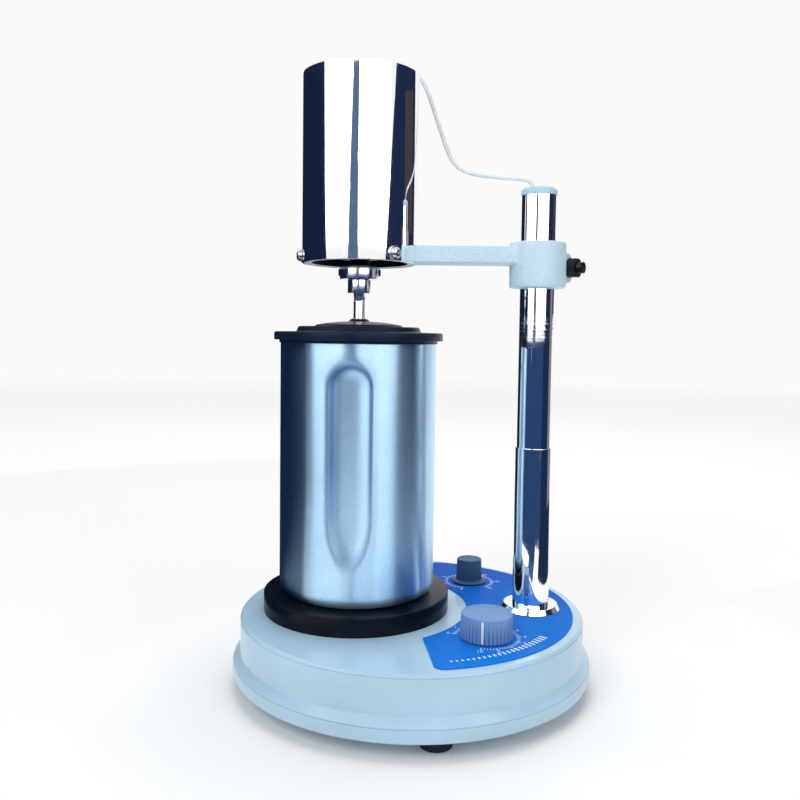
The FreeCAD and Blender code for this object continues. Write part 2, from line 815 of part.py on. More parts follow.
def half_lap(name, shaft, low, high, side):
    """Mill one half of a shaft's end away, on its front (-1) or its rear (+1) side."""
    size = "2 * shaft_radius + 2"
    near = "lap_gap / 2 - (%s)" % size if side < 0 else "-lap_gap / 2"
    mill = box(name + "_milling", size, size, "(%s) - (%s)" % (high, low),
               "cup_x - (%s) / 2" % size, near, low)
    return cut(name, shaft, mill)


def make_blade():
    """The cutter: its shaft with the lapped end, the crossed blades and their nut."""
    bottom = "seat_level + blade_clearance - blade_nut_height - 2"
    rod = cylinder("blade_rod", "shaft_radius", "tang_level - (%s)" % bottom, "cup_x", "0", bottom)
    shaft = half_lap("blade_shaft", rod, "blade_shoulder", "tang_level", 1)
    node(shaft, "blade_shaft")
    blade_level = "seat_level + blade_clearance"
    pieces = []
    for index, azimuth in enumerate((20, 110)):
        x = "-blade_span / 2 * cos(%g) + blade_width / 2 * sin(%g)" % (azimuth, azimuth)
        y = "-blade_span / 2 * sin(%g) - blade_width / 2 * cos(%g)" % (azimuth, azimuth)
        pieces.append(box("blade_bar_%d" % index, "blade_span", "blade_width", "blade_thickness",
                          x, y, blade_level, FreeCAD.Rotation(UP, azimuth)))
    hub = cylinder("blade_hub_body", "blade_hub_radius", "blade_hub_height", z=blade_level)
    bore = cylinder("blade_hub_bore", "shaft_radius", "blade_hub_height", z=blade_level)
    blades = cut("cutting_blades", fuse("blade_cross", pieces + [hub]), bore)
    node(place(blades, "cup_x"), "cutting_blades")
    node(hex_nut("blade_nut", "blade_nut_radius", "shaft_radius", "blade_nut_height", "cup_x", "0",
                 blade_level + " - blade_nut_height"), "blade_nut")


def ear_place(out, along):
    """The (x, y) expressions of a clamp point: steps out to the bolt and along the bolt."""
    x = "post_x + (%s) * sin(ear_angle) + (%s) * cos(ear_angle)" % (out, along)
    y = "(%s) * cos(ear_angle) - (%s) * sin(ear_angle)" % (out, along)
    return x, y


def make_motor_arm():
    """The cast arm: motor ring, beam and split clamp with its two ears."""
    turn = FreeCAD.Rotation(UP, -number("ear_angle"))
    bolt_turn = toward(-number("ear_angle"))
    motor_ring = cylinder("arm_ring", "cover_radius - cover_wall - running_fit", "arm_thickness",
                          "cup_x", "0", "arm_level")
    beam = box("arm_beam", "post_x - cup_x - ring_opening - 4", "arm_width", "arm_thickness",
               "cup_x + ring_opening + 2", "-arm_width / 2", "arm_level")
    boss = lathe("arm_boss", [
        ("0", "clamp_level"),
        ("clamp_radius - clamp_bevel", "clamp_level"),
        ("clamp_radius", "clamp_level + clamp_bevel"),
        ("clamp_radius", "clamp_top - clamp_bevel"),
        ("clamp_radius - clamp_bevel", "clamp_top"),
        ("0", "clamp_top"),
    ], x="post_x")
    corner_x, corner_y = ear_place("0", "-ear_half_width")
    ear_block = box("arm_ear_block", "2 * ear_half_width", "ear_reach", "2 * ear_radius",
                    corner_x, corner_y, "clamp_middle - ear_radius", turn)
    end_x, end_y = ear_place("ear_reach", "-ear_half_width")
    ear_end = cylinder("arm_ear_end", "ear_radius", "2 * ear_half_width", end_x, end_y,
                       "clamp_middle", bolt_turn)
    casting = fuse("arm_casting", [motor_ring, beam, boss, ear_block, ear_end])
    slot_x, slot_y = ear_place("0", "-clamp_slot / 2")
    tools = [
        cylinder("arm_opening", "ring_opening", "arm_thickness", "cup_x", "0", "arm_level"),
        cylinder("arm_bore", "post_radius + running_fit", "clamp_top - clamp_level",
                 "post_x", "0", "clamp_level"),
        box("arm_slot", "clamp_slot", "ear_reach + ear_radius + 2", "clamp_top - clamp_level",
            slot_x, slot_y, "clamp_level", turn),
        cylinder("arm_bolt_hole", "4 + screw_fit", "2 * ear_half_width", end_x, end_y,
                 "clamp_middle", bolt_turn),
    ]
    for index, azimuth in enumerate(around(3, "cover_screw_angle")):
        x, y = polar("ring_opening", azimuth, "cup_x")
        tools.append(cylinder("arm_screw_hole_%d" % index, "2", "cover_radius - ring_opening", x, y,
                              "arm_level + cover_screw_rise", toward(number(azimuth))))
    node(cut("motor_arm", casting, group("arm_cuts", tools)), "motor_arm")


def make_clamp_fasteners():
    """The clamp's bolt, its two washers and its nut."""
    bolt_turn = toward(-number("ear_angle"))
    head_x, head_y = ear_place("ear_reach", "-ear_half_width - 1.6 - 5.3")
    head = hexagon("clamp_bolt_head", "7.5", "5.3")
    stem = cylinder("clamp_bolt_stem", "4", "5.3 + 2 * ear_half_width + 2 * 1.6 + 6.5 + 4.2")
    bolt = place(fuse("clamp_bolt", [head, stem]), head_x, head_y, "clamp_middle", bolt_turn)
    node(bolt, "clamp_bolt")
    washers = []
    for index, along in enumerate(("-ear_half_width - 1.6", "ear_half_width")):
        x, y = ear_place("ear_reach", along)
        washers.append(ring("clamp_washer_%d" % index, "7.5", "4 + screw_fit", "1.6", x, y,
                            "clamp_middle", bolt_turn))
    node(group("clamp_washers", washers), "clamp_washers")
    nut_x, nut_y = ear_place("ear_reach", "ear_half_width + 1.6")
    node(hex_nut("clamp_nut", "7.5", "4", "6.5", nut_x, nut_y, "clamp_middle", bolt_turn), "clamp_nut")


def make_motor_cover():
    """The bright can over the motor, with its notch for the beam, and its washer-headed screws."""
    inner = "cover_radius - cover_wall"
    can = lathe("cover_turned", [
        (inner, "cover_level"),
        ("cover_radius", "cover_level"),
        ("cover_radius", "cover_top"),
        ("0", "cover_top"),
        ("0", "cover_top - cover_wall"),
        (inner, "cover_top - cover_wall"),
    ], x="cup_x")
    round_rims(can, "cover_edge", "cover_round", [("cover_radius", "cover_top")])
    notch = box("cover_notch", "cover_radius", "arm_width + 2 * slip_fit",
                "arm_top - cover_level + slip_fit", "cup_x", "-arm_width / 2 - slip_fit", "cover_level")
    notch_side = cylinder("cover_notch_limit", "ring_opening", "cover_height",
                          "cup_x", "0", "cover_level")
    lead_hole = cylinder("cover_lead_hole", "grommet_radius - 1.2", "cover_wall",
                         "cup_x + lead_exit_x", "lead_exit_y", "cover_top - cover_wall")
    tools = [cut("cover_notch_cut", notch, notch_side), lead_hole]
    screws = []
    for index, azimuth in enumerate(around(3, "cover_screw_angle")):
        turn = toward(number(azimuth))
        level = "arm_level + cover_screw_rise"
        x, y = polar("cover_radius - 3", azimuth, "cup_x")
        tools.append(cylinder("cover_screw_hole_%d" % index, "2 + screw_fit", "6", x, y, level, turn))
        x, y = polar("cover_radius", azimuth, "cup_x")
        head = cylinder("cover_screw_head_%d" % index, "3.8", "3.2")
        washer = cylinder("cover_screw_washer_%d" % index, "4.8", "0.8")
        shank = cylinder("cover_screw_shank_%d" % index, "2", "cover_radius - ring_opening - 0.5",
                         z="-(cover_radius - ring_opening - 0.5)")
        solid = fuse("cover_screw_%d" % index, [head, washer, shank])
        screws.append(place(solid, x, y, level, turn))
    node(cut("motor_cover", can, group("cover_cuts", tools)), "motor_cover")
    node(group("cover_screws", screws), "cover_screws")


def make_grommet():
    """The grommet on the cover's top that the motor lead comes out of."""
    grommet = lathe("lead_grommet", [
        ("0", "cover_top - cover_wall - 1.5"),
        ("grommet_radius", "cover_top - cover_wall - 1.5"),
        ("grommet_radius", "cover_top - cover_wall"),
        ("grommet_radius - 1.2", "cover_top - cover_wall"),
        ("grommet_radius - 1.2", "cover_top"),
        ("grommet_radius", "cover_top"),
        ("grommet_radius - 1", "grommet_top"),
        ("0", "grommet_top"),
    ], x="cup_x + lead_exit_x", y="lead_exit_y")
    node(grommet, "lead_grommet")


def make_brackets():
    """The motor's two end brackets, with their bearing seats."""
    seat = "bearing_radius"
    lower = lathe("lower_bracket_turned", [
        ("shaft_radius + 0.4", "nose_level"),
        ("nose_radius", "nose_level"),
        ("nose_radius", "arm_level + 3"),
        (seat + " + 3", "arm_level + 3"),
        (seat + " + 3", "arm_top"),
        ("bracket_radius", "arm_top"),
        ("bracket_radius", "bracket_top"),
        (seat, "bracket_top"),
        (seat, "bracket_top - bearing_height - 1"),
        ("shaft_radius + 0.4", "bracket_top - bearing_height - 1"),
    ], x="cup_x")
    upper = lathe("upper_bracket_turned", [
        (seat, "upper_bracket - 3"),
        (seat + " + 3", "upper_bracket - 3"),
        (seat + " + 3", "upper_bracket"),
        ("bracket_radius", "upper_bracket"),
        ("bracket_radius", "upper_bracket_top"),
        ("shaft_radius + 0.4", "upper_bracket_top"),
        ("shaft_radius + 0.4", "upper_bracket_top - 1"),
        (seat, "upper_bracket_top - 1"),
    ], x="cup_x")
    for body, name, level in (
        (lower, "lower_bracket", "arm_top"),
        (upper, "upper_bracket", "upper_bracket"),
    ):
        holes = []
        for index, azimuth in enumerate(around(2, "90")):
            x, y = polar("tie_rod_circle", azimuth, "cup_x")
            holes.append(cylinder("%s_rod_hole_%d" % (name, index), "tie_rod_radius",
                                  "bracket_thickness", x, y, level))
        for index, azimuth in enumerate(around(4, "45")):
            x, y = polar("(bearing_radius + bracket_radius) / 2 + 2", azimuth, "cup_x")
            holes.append(cylinder("%s_vent_%d" % (name, index), "6", "bracket_thickness", x, y, level))
        label = "motor_" + name
        node(cut(label, body, group(name + "_holes", holes)), label)


def make_bearings():
    """Two ball bearings, drawn as plain rings, in the brackets' seats."""
    rings = []
    for index, level in enumerate((
        "bracket_top - bearing_height - 1",
        "upper_bracket_top - 1 - bearing_height",
    )):
        rings.append(ring("bearing_%d" % index, "bearing_radius", "shaft_radius + running_fit",
                          "bearing_height", "cup_x", "0", level))
    node(group("motor_bearings", rings), "motor_bearings")


def make_stator():
    """The laminated stator, its field coils and the rods that hold the motor together."""
    core = ring("stator_ring", "stator_radius", "rotor_radius + air_gap", "stator_height",
                "cup_x", "0", "stator_level")
    pockets = []
    for index, azimuth in enumerate((90, -90)):
        x, y = polar("rotor_radius + air_gap + 1", "%g" % azimuth, "cup_x")
        pockets.append(box("stator_pocket_%d" % index, "20", "8", "stator_height",
                           "%s - 10" % x, "%s - 4 + %g" % (y, 4 * (1 if azimuth > 0 else -1)),
                           "stator_level"))
    node(cut("stator_core", core, group("stator_pockets", pockets)), "stator_core")
    coils = []
    coil_height = "stator_height + 2 * winding_overhang"
    coil_level = "stator_level - winding_overhang"
    for index, azimuth in enumerate((0, 180)):
        outer = cylinder("coil_outer_%d" % index, "stator_radius - 3", coil_height,
                         "cup_x", "0", coil_level)
        inner = cylinder("coil_inner_%d" % index, "rotor_radius + air_gap + 2", coil_height,
                         "cup_x", "0", coil_level)
        side = "cup_x + 3" if azimuth == 0 else "cup_x - 3 - stator_radius"
        half = box("coil_half_%d" % index, "stator_radius", "2 * stator_radius", coil_height,
                   side, "-stator_radius", coil_level)
        window = cylinder("coil_window_%d" % index, "stator_radius", "stator_height",
                          "cup_x", "0", "stator_level")
        loop = common("coil_loop_%d" % index, [cut("coil_tube_%d" % index, outer, inner), half])
        coils.append(cut("field_coil_%d" % index, loop, window))
    node(group("field_coils", coils), "field_coils")
    rods = []
    for index, azimuth in enumerate(around(2, "90")):
        x, y = polar("tie_rod_circle", azimuth, "cup_x")
        rods.append(cylinder("tie_rod_%d" % index, "tie_rod_radius", "frame_height + bracket_thickness",
                             x, y, "arm_top"))
    node(group("tie_rods", rods), "tie_rods")


def make_brushes():
    """Brush holders under the upper bracket, and the carbon brushes in them."""
    holders = []
    brushes = []
    height = "upper_bracket - commutator_level - 1"
    holder_reach = "(bearing_radius + 3.5)"
    brush_reach = "(commutator_radius + slip_fit)"
    for index, side in enumerate(("+ %s", "- %s - brush_length")):
        name = "brush_holder_%d" % index
        holder_start = "cup_x " + side % holder_reach
        brush_start = "cup_x " + side % brush_reach
        block = box(name + "_block", "brush_length", "12", height, holder_start, "-6",
                    "commutator_level + 1")
        slot = box(name + "_slot", "brush_length", "6 + 2 * running_fit", "8 + 2 * running_fit",
                   holder_start, "-3 - running_fit", "commutator_level + 2 - running_fit")
        holders.append(cut(name, block, slot))
        brushes.append(box("brush_%d" % index, "brush_length", "6", "8", brush_start, "-3",
                           "commutator_level + 2"))
    node(group("brush_holders", holders), "brush_holders")
    node(group("carbon_brushes", brushes), "carbon_brushes")


def make_rotor():
    """Everything that turns with the motor shaft."""
    rod = cylinder("motor_rod", "shaft_radius", "shaft_top - spindle_tip", "cup_x", "0", "spindle_tip")
    node(half_lap("motor_shaft", rod, "spindle_tip", "spindle_flat", -1), "motor_shaft")
    node(ring("armature_core", "rotor_radius", "shaft_radius", "stator_height",
              "cup_x", "0", "stator_level"), "armature_core")
    ends = []
    for index, level in enumerate(("stator_level - winding_overhang", "stator_top")):
        ends.append(ring("winding_end_%d" % index, "rotor_radius - 3", "shaft_radius",
                         "winding_overhang", "cup_x", "0", level))
    node(group("armature_windings", ends), "armature_windings")
    node(ring("commutator", "commutator_radius", "shaft_radius", "commutator_height",
              "cup_x", "0", "commutator_level"), "commutator")
    hub = cylinder("fan_hub", "9", "fan_height", z="upper_bracket_top + 3")
    disc = cylinder("fan_disc", "fan_radius", "1.6", z="upper_bracket_top + 3")
    blades = []
    for index in range(8):
        azimuth = 45 * index
        x = "0.6 * sin(%g)" % azimuth
        y = "-0.6 * cos(%g)" % azimuth
        blades.append(box("fan_blade_%d" % index, "fan_radius", "1.2", "fan_height", x, y,
                          "upper_bracket_top + 3", FreeCAD.Rotation(UP, azimuth)))
    bore = cylinder("fan_bore", "shaft_radius", "fan_height", z="upper_bracket_top + 3")
    limit = cylinder("fan_limit", "fan_radius", "fan_height", z="upper_bracket_top + 3")
    wheel = common("fan_wheel", [fuse("fan_solid", [hub, disc] + blades), limit])
    node(place(cut("cooling_fan", wheel, bore), "cup_x"), "cooling_fan")


def make_collars():
    """The two bright collars under the motor, and the screws that lock the large one."""
    bottom = "drive_collar_level"
    large = lathe("drive_collar_turned", [
        ("shaft_radius", bottom),
        ("drive_collar_radius - 0.8", bottom),
        ("drive_collar_radius", bottom + " + 0.8"),
        ("drive_collar_radius", bottom + " + drive_collar_height - 0.8"),
        ("drive_collar_radius - 0.8", bottom + " + drive_collar_height"),
        ("shaft_radius", bottom + " + drive_collar_height"),
    ], x="cup_x")
    holes = []
    screws = []
    for index, azimuth in enumerate((0, 180)):
        x, y = polar("shaft_radius", "%g" % azimuth, "cup_x")
        level = bottom + " + drive_collar_height / 2"
        length = "drive_collar_radius - shaft_radius + 1"
        holes.append(cylinder("collar_hole_%d" % index, "2.5", length, x, y, level, toward(azimuth)))
        screws.append(cylinder("collar_screw_%d" % index, "2.5", length, x, y, level, toward(azimuth)))
    node(cut("drive_collar", large, group("collar_holes", holes)), "drive_collar")
    node(group("collar_screws", screws), "collar_screws")
    small = lathe("end_collar", [
        ("shaft_radius", "end_collar_level"),
        ("end_collar_radius - 0.8", "end_collar_level"),
        ("end_collar_radius", "end_collar_level + 0.8"),
        ("end_collar_radius", "drive_collar_level"),
        ("shaft_radius", "drive_collar_level"),
    ], x="cup_x")
    node(small, "end_collar")


def lead_wire(points):
    """Straight runs joined by tangent arcs, each arc cut back by 0.45 of its shorter run."""
    edges = []
    start = points[0]
    for index in range(1, len(points) - 1):
        corner = points[index]
        before = corner - points[index - 1]
        after = points[index + 1] - corner
        turn = before.getAngle(after)
        back = 0.45 * min(before.Length, after.Length)
        radius = back / math.tan(turn / 2)
        print("lead corner %d: turn %.0f degrees, radius %.1f mm" % (index, math.degrees(turn), radius))
        first = corner - before.normalize() * back
        last = corner + after.normalize() * back
        bisector = (first + last) * 0.5 - corner
        middle = corner + bisector.normalize() * (radius / math.cos(turn / 2) - radius)
        edges.append(Part.LineSegment(start, first).toShape())
        edges.append(Part.Arc(first, middle, last).toShape())
        start = last
    edges.append(Part.LineSegment(start, points[-1]).toShape())
    return Part.Wire(edges)


def make_motor_lead():
    """The lead from the cover's grommet to the post's cap, at its real length."""
    start = FreeCAD.Vector(number("cup_x + lead_exit_x"), number("lead_exit_y"), number("grommet_top"))
    end = FreeCAD.Vector(number("post_x - lead_entry"), 0, number("cap_top"))
    points = [start] + [FreeCAD.Vector(*corner) for corner in LEAD_CORNERS] + [end]
    points[1] = FreeCAD.Vector(start.x, start.y, points[1].z)
    points[-2] = FreeCAD.Vector(end.x, end.y, points[-2].z)
    path = lead_wire(points)
    section = Part.Wire(Part.Circle(start, points[1] - start, number("lead_radius")).toShape())
    tube = path.makePipeShell([section], True, False)
    area = math.pi * number("lead_radius") ** 2
    print("lead length %.1f mm" % path.Length)
    print("lead volume %.0f against %.0f" % (tube.Volume, area * path.Length))
    lead = doc.addObject("Part::Feature", "motor_lead")
    lead.Shape = tube
    node(lead, "motor_lead")


def ribbed_knob(name, radius, taper, height, ribs, level, x, y):
    """A knob turned to shape, with ribs cut round its side and a bore for its shaft."""
    top = "%s + %s" % (level, height)
    body = lathe(name, [
        ("control_shaft_radius", level + " + control_nut_height + 2"),
        ("control_nut_radius + 0.8", level + " + control_nut_height + 2"),
        ("control_nut_radius + 0.8", level),
        (radius, level),
        ("%s - %s" % (radius, taper), top + " - 0.8"),
        ("%s - %s - 0.8" % (radius, taper), top),
        ("0", top),
        ("0", level + " + %s - 3" % height),
        ("control_shaft_radius", level + " + %s - 3" % height),
    ], x=x, y=y)
    pitch = "3.1416 * (%s) / %s" % (radius, ribs)
    sketch = circle_sketch(body, name + "_rib_circle", "XY_Plane",
                           [("%s + 0.35 * %s" % (radius, pitch), "0", "0.7 * " + pitch)])
    pocket = body.newObject("PartDesign::Pocket", name + "_rib")
    pocket.Profile = sketch
    pocket.Type = "ThroughAll"
    pocket.Midplane = True
    sketch.Visibility = False
    doc.recompute()
    pattern = body.newObject("PartDesign::PolarPattern", name + "_ribs")
    pattern.Originals = [pocket]
    pattern.Axis = (origin_plane(body, "Z_Axis"), [""])
    pattern.Angle = 360
    bind(pattern, "Occurrences", ribs)
    body.Tip = pattern
    doc.recompute()
    return body


def make_knobs():
    """The two knobs, the timer's skirt and the shafts they are pressed on."""
    level = "panel_level + knob_lift"
    front = "-knob_y"
    speed = ribbed_knob("speed_knob", "speed_knob_radius", "speed_knob_taper", "speed_knob_height",
                        "speed_knob_ribs", level, "speed_x", front)
    node(speed, "speed_knob")
    skirt_top = level + " + timer_skirt_height"
    timer = ribbed_knob("timer_grip", "timer_knob_radius", "timer_knob_taper", "timer_knob_height",
                        "timer_knob_ribs", skirt_top, "timer_x", "knob_y")
    skirt = ring("timer_skirt", "timer_skirt_radius", "control_nut_radius + 0.8", "timer_skirt_height",
                 "timer_x", "knob_y", level)
    node(fuse("timer_knob_skirted", [timer, skirt]), "timer_knob")
    for name, x, y, height, base in (
        ("speed", "speed_x", front, "speed_knob_height", level),
        ("timer", "timer_x", "knob_y", "timer_knob_height", skirt_top),
    ):
        top = "%s + %s - 3" % (base, height)
        foot = "panel_level + control_nut_height + 0.8"
        node(cylinder(name + "_shaft", "control_shaft_radius", "%s - (%s)" % (top, foot),
                      x, y, foot), name + "_shaft")


def make_controls():
    """The controls under the deck: their cases, threaded bushings and nuts."""
    depth = "deck_underside"
    cases = (
        ("speed", "speed_x", "-knob_y", "12", "10"),
        ("timer", "timer_x", "knob_y", "19", "26"),
    )
    nuts = []
    for name, x, y, radius, height in cases:
        case = cylinder(name + "_case", radius, height, x, y, "%s - %s" % (depth, height))
        bushing = cylinder(name + "_bushing", "control_bushing_radius",
                           "panel_level + control_nut_height + 0.5 - deck_underside",
                           x, y, depth)
        label = name + "_control"
        node(fuse(label, [case, bushing]), label)
        nuts.append(hex_nut(name + "_nut", "control_nut_radius", "control_bushing_radius",
                            "control_nut_height", x, y, "panel_level"))
    node(group("control_nuts", nuts), "control_nuts")


def board_corners():
    """The board's four screw places, from the middle of the board under the cup."""
    places = []
    for side in ("-", ""):
        for end in ("-", ""):
            x = "cup_x + %s(board_length / 2 - board_screw_inset)" % side
            y = "%s(board_width / 2 - board_screw_inset)" % end
            places.append((x, y))
    return places


def make_board():
    """The control board on its standoffs, with the large parts on it."""
    plate = box("board_plate", "board_length", "board_width", "board_thickness",
                "cup_x - board_length / 2", "-board_width / 2", "board_level")
    holes = []
    standoffs = []
    screws = []
    for index, (x, y) in enumerate(board_corners()):
        holes.append(cylinder("board_hole_%d" % index, "1.5", "board_thickness", x, y, "board_level"))
        standoffs.append(ring("standoff_%d" % index, "standoff_radius", "1.5", "standoff_height",
                              x, y, "tray_floor"))
        screws.append(screw("board_screw_%d" % index, "2.8", "2", "1.5", "board_thickness + 5", x, y,
                            "board_level + board_thickness"))
    node(cut("control_board", plate, group("board_holes", holes)), "control_board")
    node(group("board_standoffs", standoffs), "board_standoffs")
    node(group("board_screws", screws), "board_screws")
    top = "board_level + board_thickness"
    sink = [box("sink_base", "30", "12", "3", "cup_x - 35", "8", top)]
    for index in range(5):
        fin_y = "%g" % (8 + 2.7 * index)
        sink.append(box("sink_fin_%d" % index, "30", "1.2", "15", "cup_x - 35", fin_y, top))
    node(fuse("heat_sink", sink), "heat_sink")
    node(cylinder("film_capacitor", "5", "16", "cup_x - 20", "-16", top), "film_capacitor")
    node(box("line_transformer", "26", "22", "18", "cup_x + 2", "-24", top), "line_transformer")
    block = box("terminal_body", "36", "9", "10", "cup_x + 2", "14", top)
    wells = []
    for index in range(6):
        well_x = "cup_x + %g" % (5 + 6 * index)
        wells.append(cylinder("terminal_well_%d" % index, "1.6", "4", well_x, "18.5", top + " + 6"))
    node(cut("terminal_block", block, group("terminal_wells", wells)), "terminal_block")


def make_inlets():
    """The mains gland and the fuse holder at the back of the base."""
    for name, label, azimuth, stand in (
        ("gland", "mains_gland", "gland_angle", "9"),
        ("fuse", "fuse_holder", "fuse_angle", "5"),
    ):
        turn = toward(number(azimuth))
        x, y = polar("wall_radius - 2 * shell_thickness", azimuth)
        stem = cylinder(name + "_stem", "6", "2 * shell_thickness + 1", x, y, "inlet_height", turn)
        x, y = polar("wall_radius", azimuth)
        head = cone(name + "_head", "gland_radius", "gland_radius - 2", stand,
                    x, y, "inlet_height", turn)
        pieces = [stem, head]
        item = fuse(name + "_solid", pieces)
        x, y = polar("wall_radius - 3 * shell_thickness", azimuth)
        if name == "gland":
            bore = cylinder("gland_bore", "3.2", "40", x, y, "inlet_height", turn)
            item = cut("gland_bored", item, bore)
        node(item, label)
    x, y = polar("wall_radius - shell_thickness - 4.4", "gland_angle")
    node(hex_nut("gland_nut", "8.5", "6", "4", x, y, "inlet_height", toward(number("gland_angle"))),
         "gland_nut")


def check_and_export():
    """Recompute, refuse anything broken, and write each sub-part."""
    doc.recompute()
    for item in doc.Objects:
        if "Invalid" in item.State or "Error" in item.State:
            raise RuntimeError("%s is %s" % (item.Name, item.State))
    os.makedirs("parts", exist_ok=True)
    for item in nodes:
        shape = item.Shape
        if shape.isNull() or not shape.isValid() or not shape.Solids:
            raise RuntimeError("%s has no valid solid" % item.Label)
        shape.exportStep("parts/%s.step" % item.Label)
    print("%d nodes, cover top at %.1f mm" % (len(nodes), number("cover_top")))


fill_sheet()
make_bottom_tray()
make_base_shell()
make_feet()
make_case_screws()
make_control_panel()
make_cup_seat()
make_post()
make_post_cap()
make_cup()
make_lid()
make_blade()
make_motor_arm()
make_clamp_fasteners()
make_motor_cover()
make_grommet()
make_brackets()
make_bearings()
make_stator()
make_brushes()
make_rotor()
make_collars()
make_motor_lead()
make_knobs()
make_controls()
make_board()
make_inlets()
check_and_export()
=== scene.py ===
"""The looks of a bench tissue homogenizer, built round its packed construction.

Sizes in the classes are millimetres. The shop functions turn them into metres. +Z is up, +X points
from the cup's axis to the post and -Y is the front. The origin is the centre of the base on the bench.
"""

import logging
import math
from collections.abc import Iterator, Sequence
from contextlib import contextmanager
from dataclasses import dataclass, field
from enum import Enum
from functools import cache

import bmesh
import bpy
from mathutils import Euler, Matrix, Vector

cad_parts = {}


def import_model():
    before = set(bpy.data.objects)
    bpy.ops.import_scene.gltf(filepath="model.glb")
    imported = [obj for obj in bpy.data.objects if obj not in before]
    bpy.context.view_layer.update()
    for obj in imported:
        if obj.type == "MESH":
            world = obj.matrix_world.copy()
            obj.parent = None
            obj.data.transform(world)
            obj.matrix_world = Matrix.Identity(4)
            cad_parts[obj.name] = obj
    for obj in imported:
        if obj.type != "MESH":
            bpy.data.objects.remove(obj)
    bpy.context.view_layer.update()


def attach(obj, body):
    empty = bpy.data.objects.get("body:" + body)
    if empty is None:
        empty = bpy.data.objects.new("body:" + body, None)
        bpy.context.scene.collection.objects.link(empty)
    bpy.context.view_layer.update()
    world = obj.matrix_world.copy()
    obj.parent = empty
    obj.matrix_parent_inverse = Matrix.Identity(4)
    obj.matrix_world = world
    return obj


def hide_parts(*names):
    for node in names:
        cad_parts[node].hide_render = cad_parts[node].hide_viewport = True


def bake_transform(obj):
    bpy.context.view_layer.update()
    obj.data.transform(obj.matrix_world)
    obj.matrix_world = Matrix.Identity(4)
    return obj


LOG = logging.getLogger("tissue_homogenizer")

MM = 0.001
CUP_X = -39.5
POST_X = 84.5
DECK = 48.5
PANEL_TOP = 49.3
SEAT_TOP = 61.5
SHAFT_RADIUS = 4.0

Piece = bpy.types.Object
Colour = tuple[float, float, float]
Point = tuple[float, float, float]


class Body(Enum):
    """The moving bodies of the construction."""

    BASE = "base"
    SPEED_DIAL = "speed_dial"
    TIMER_DIAL = "timer_dial"
    SWING_CAP = "swing_cap"
    ARM = "arm"
    ROTOR = "rotor"
    CUP = "cup"
    LID = "lid"
    CUTTER = "cutter"


class Slot(Enum):
    """The finishes that the record names."""

    BASE_PAINT = "base_paint"
    PANEL_BLUE = "panel_blue"
    ARM_PAINT = "arm_paint"
    CHROME = "bright_chrome"
    CUP_STEEL = "cup_steel"
    MACHINED = "machined_steel"
    BLACK_BOLTS = "black_bolts"
    BLACK_PLASTIC = "black_plastic"
    DARK_PLASTIC = "dark_plastic"
    KNOB_BLUE_GREY = "knob_blue_grey"
    KNOB_DARK_GREY = "knob_dark_grey"
    BRONZE = "bush_bronze"
    ALLOY = "bracket_alloy"
    COPPER = "copper_winding"
    CARBON = "carbon"
    FAN = "fan_plastic"
    BOARD = "board_green"
    WHITE_PLASTIC = "white_plastic"
    RUBBER = "foot_rubber"


class Grain(Enum):
    """The way in which a finish's marks run."""

    EVEN = "even"
    ROUND = "round"
    ALONG = "along"


# Shop functions


def deselect() -> None:
    """Leave edit mode and deselect everything, the loaded nodes included."""
    if bpy.context.mode != "OBJECT":
        bpy.ops.object.mode_set(mode="OBJECT")
    bpy.ops.object.select_all(action="DESELECT")


def pick(*pieces: Piece) -> None:
    """Select only these pieces and make the first one active.

    Args:
        pieces: The pieces to select.
    """
    deselect()
    for piece in pieces:
        piece.select_set(True)
    bpy.context.view_layer.objects.active = pieces[0]


@contextmanager
def editing(piece: Piece, mode: str = "VERT") -> Iterator[None]:
    """Open a piece in edit mode with all of it selected.

    Args:
        piece: The piece to edit.
        mode: VERT, EDGE or FACE.
    """
    pick(piece)
    bpy.ops.object.mode_set(mode="EDIT")
    bpy.ops.mesh.select_mode(type=mode)
    bpy.ops.mesh.select_all(action="SELECT")
    yield
    bpy.ops.object.mode_set(mode="OBJECT")


def named(name: str) -> Piece:
    """Give the newest primitive its name, and put its place into its mesh.

    Args:
        name: The piece's name.

    Returns:
        The piece, at the origin, unturned and unscaled.
    """
    piece = bpy.context.object
    piece.name = name
    piece.data.name = name
    bpy.ops.object.transform_apply(location=True, rotation=True, scale=True)
    return piece


def apply_modifier(piece: Piece, kind: str, **settings: object) -> None:
    """Add a modifier with its settings and apply it.

    Args:
        piece: The piece that is changed.
        kind: The modifier's type.
        settings: The modifier's properties.
    """
    pick(piece)
    modifier = piece.modifiers.new(kind.lower(), kind)
    for key, value in settings.items():
        setattr(modifier, key, value)
    bpy.ops.object.modifier_apply(modifier=modifier.name)


def smooth(piece: Piece, angle: float = 30.0) -> Piece:
    """Shade a piece smooth, with its edges sharper than an angle left crisp.

    Args:
        piece: The piece to shade.
        angle: The angle in degrees.

    Returns:
        The same piece.
    """
    pick(piece)
    bpy.ops.object.shade_smooth_by_angle(angle=math.radians(angle))
    return piece


